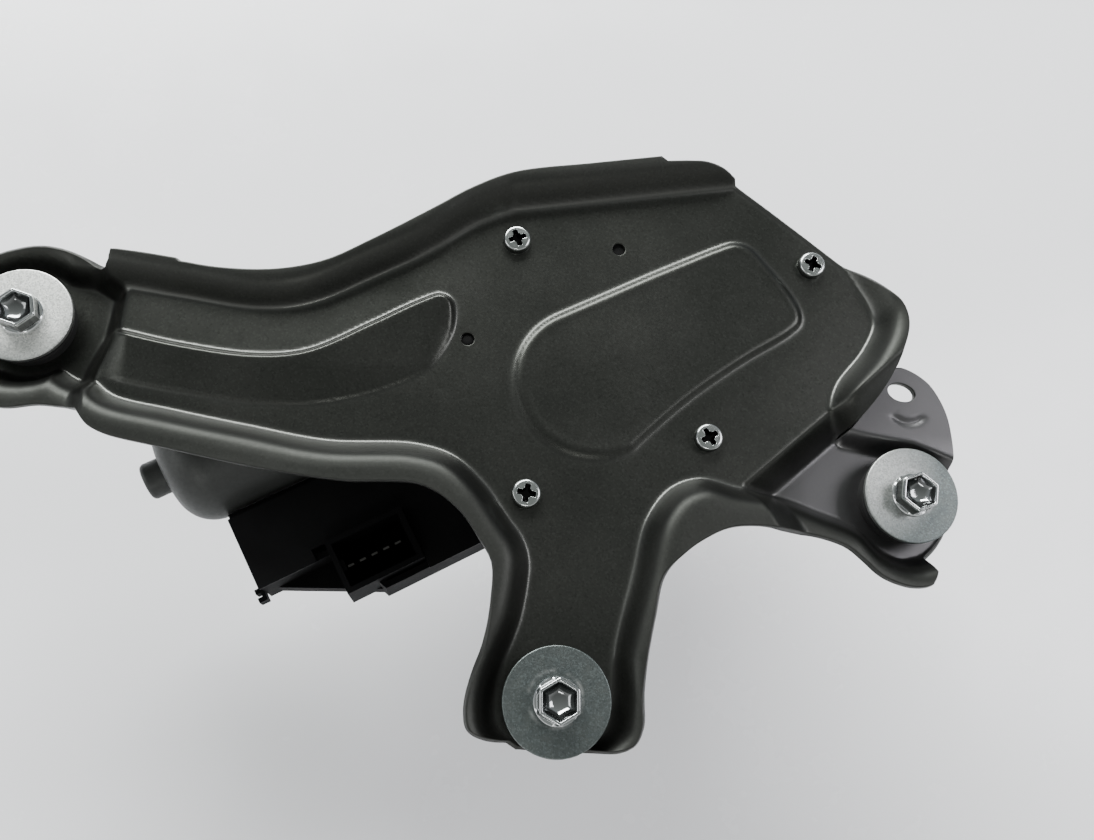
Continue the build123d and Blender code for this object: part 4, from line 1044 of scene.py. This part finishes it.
def screw_material(name, colour, rough):
    """Bright zinc darkened by the piece's recess attribute, which holds painted shade."""
    m = surface_material(name, colour, rough, metallic=1.0, vary=0.06, grain_amount=0.10,
                         bump_amount=0.10, bump_size=0.00005, patch=90.0)
    tree = m.node_tree
    socket = tree.nodes["Principled BSDF"].inputs["Base Color"]
    tone = mix(tree, attribute(tree, "recess"), socket.links[0].from_socket,
               (0.012, 0.012, 0.012))
    tree.links.new(tone, socket)
    return m


SCREW_ZINC = screw_material("screw_zinc", (0.40, 0.42, 0.41), 0.18)
BOLT_ZINC = screw_material("bolt_zinc", (0.60, 0.62, 0.62), 0.12)
add_piece("bracket_shell", bracket_mesh(), "frame", bracket_material(),
          ["bracket"])
add_piece("ear_bolt_set", ear_bolts(), "frame", BOLT_ZINC, ["ear_bolts"])
# Painted shade: a black disc in the small hole beside the rib.
add_piece("hole_shade_disc", hole_shade_disc(), "frame", DARK)
add_piece("box_ledge", box_ledge(), "frame", MATERIALS["box_lid_plastic"])
add_piece("lid_screw_set", lid_screws(), "frame", SCREW_ZINC, ["lid_screws"])


def paint_nodes():
    """Give every CAD node the finish of its slot. The dowel's end gets the near-black finish,
    painted shade that makes it show as a dark spot.
    """
    for part in frame["record"]["subparts"]:
        node = part["node"]
        # Painted shade: the dowel's end is given the near-black finish.
        material = DARK if node == "locating_dowel" else MATERIALS.get(part["material_slot"])
        if node in nodes and material:
            o = nodes[node]
            if not o.material_slots:
                o.data.materials.append(material)
            for held in o.material_slots:
                held.material = material


paint_nodes()


# ---------------------------------------------------------------- floor and light
def make_floor():
    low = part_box("output_spindle")[0].z
    bm = bmesh.new()
    bmesh.ops.create_grid(bm, x_segments=2, y_segments=2, size=3.0)
    mesh = bpy.data.meshes.new("table_top")
    bm.to_mesh(mesh)
    bm.free()
    floor = bpy.data.objects.new("table_top", mesh)
    floor.location = (0, 0, low - 0.0005)
    bpy.context.scene.collection.objects.link(floor)
    m = surface_material("table_white", (0.88, 0.88, 0.90), rough=0.22, vary=0.015, grain=40.0,
                         grain_amount=0.01, bump_amount=0.02, patch=4.0, specular=0.45)
    mesh.materials.append(m)


def area_light(name, at, target, size, power, colour=(1, 1, 1), size_y=None):
    data = bpy.data.lights.new(name, "AREA")
    data.energy = power
    data.size = size
    data.color = colour
    if size_y:
        data.shape = "RECTANGLE"
        data.size_y = size_y
    o = bpy.data.objects.new(name, data)
    bpy.context.scene.collection.objects.link(o)
    o.location = at
    o.rotation_mode = "QUATERNION"
    o.rotation_quaternion = (Vector(target) - Vector(at)).to_track_quat("-Z", "Y")


def make_lights():
    world = bpy.data.worlds.new("world")
    bpy.context.scene.world = world
    world.use_nodes = True
    tree = world.node_tree
    back = tree.nodes["Background"]
    back.inputs["Strength"].default_value = 1.0
    coords = tree.nodes.new("ShaderNodeTexCoord")
    split = tree.nodes.new("ShaderNodeSeparateXYZ")
    tree.links.new(coords.outputs["Generated"], split.inputs["Vector"])
    height = spread(tree, split.outputs["Z"], 0.15, 0.80)
    side = spread(tree, split.outputs["Y"], -0.5, 0.5)
    horizon = mix(tree, side, (1.10, 1.10, 1.10), (0.42, 0.45, 0.48))
    tone = mix(tree, height, horizon, (0.36, 0.38, 0.37))
    tree.links.new(tone, back.inputs["Color"])
    area_light("window", (-0.33, 1.14, 0.80), (0, 0, 0), 1.3, 56.0, (0.98, 1.0, 0.99), 0.5)
    area_light("side", (-1.15, -0.25, 0.55), (0, 0, 0), 0.8, 4.0, (0.98, 0.99, 1.0), 0.5)
    area_light("right", (0.84, 0.16, 0.92), (0.1, -0.02, 0), 0.55, 7.0, (0.97, 0.95, 1.0), 0.5)
    area_light("front", (-0.15, -0.95, 0.85), (0, 0, 0), 0.5, 2.5, (1.0, 1.0, 0.98), 0.1)


make_floor()
make_lights()
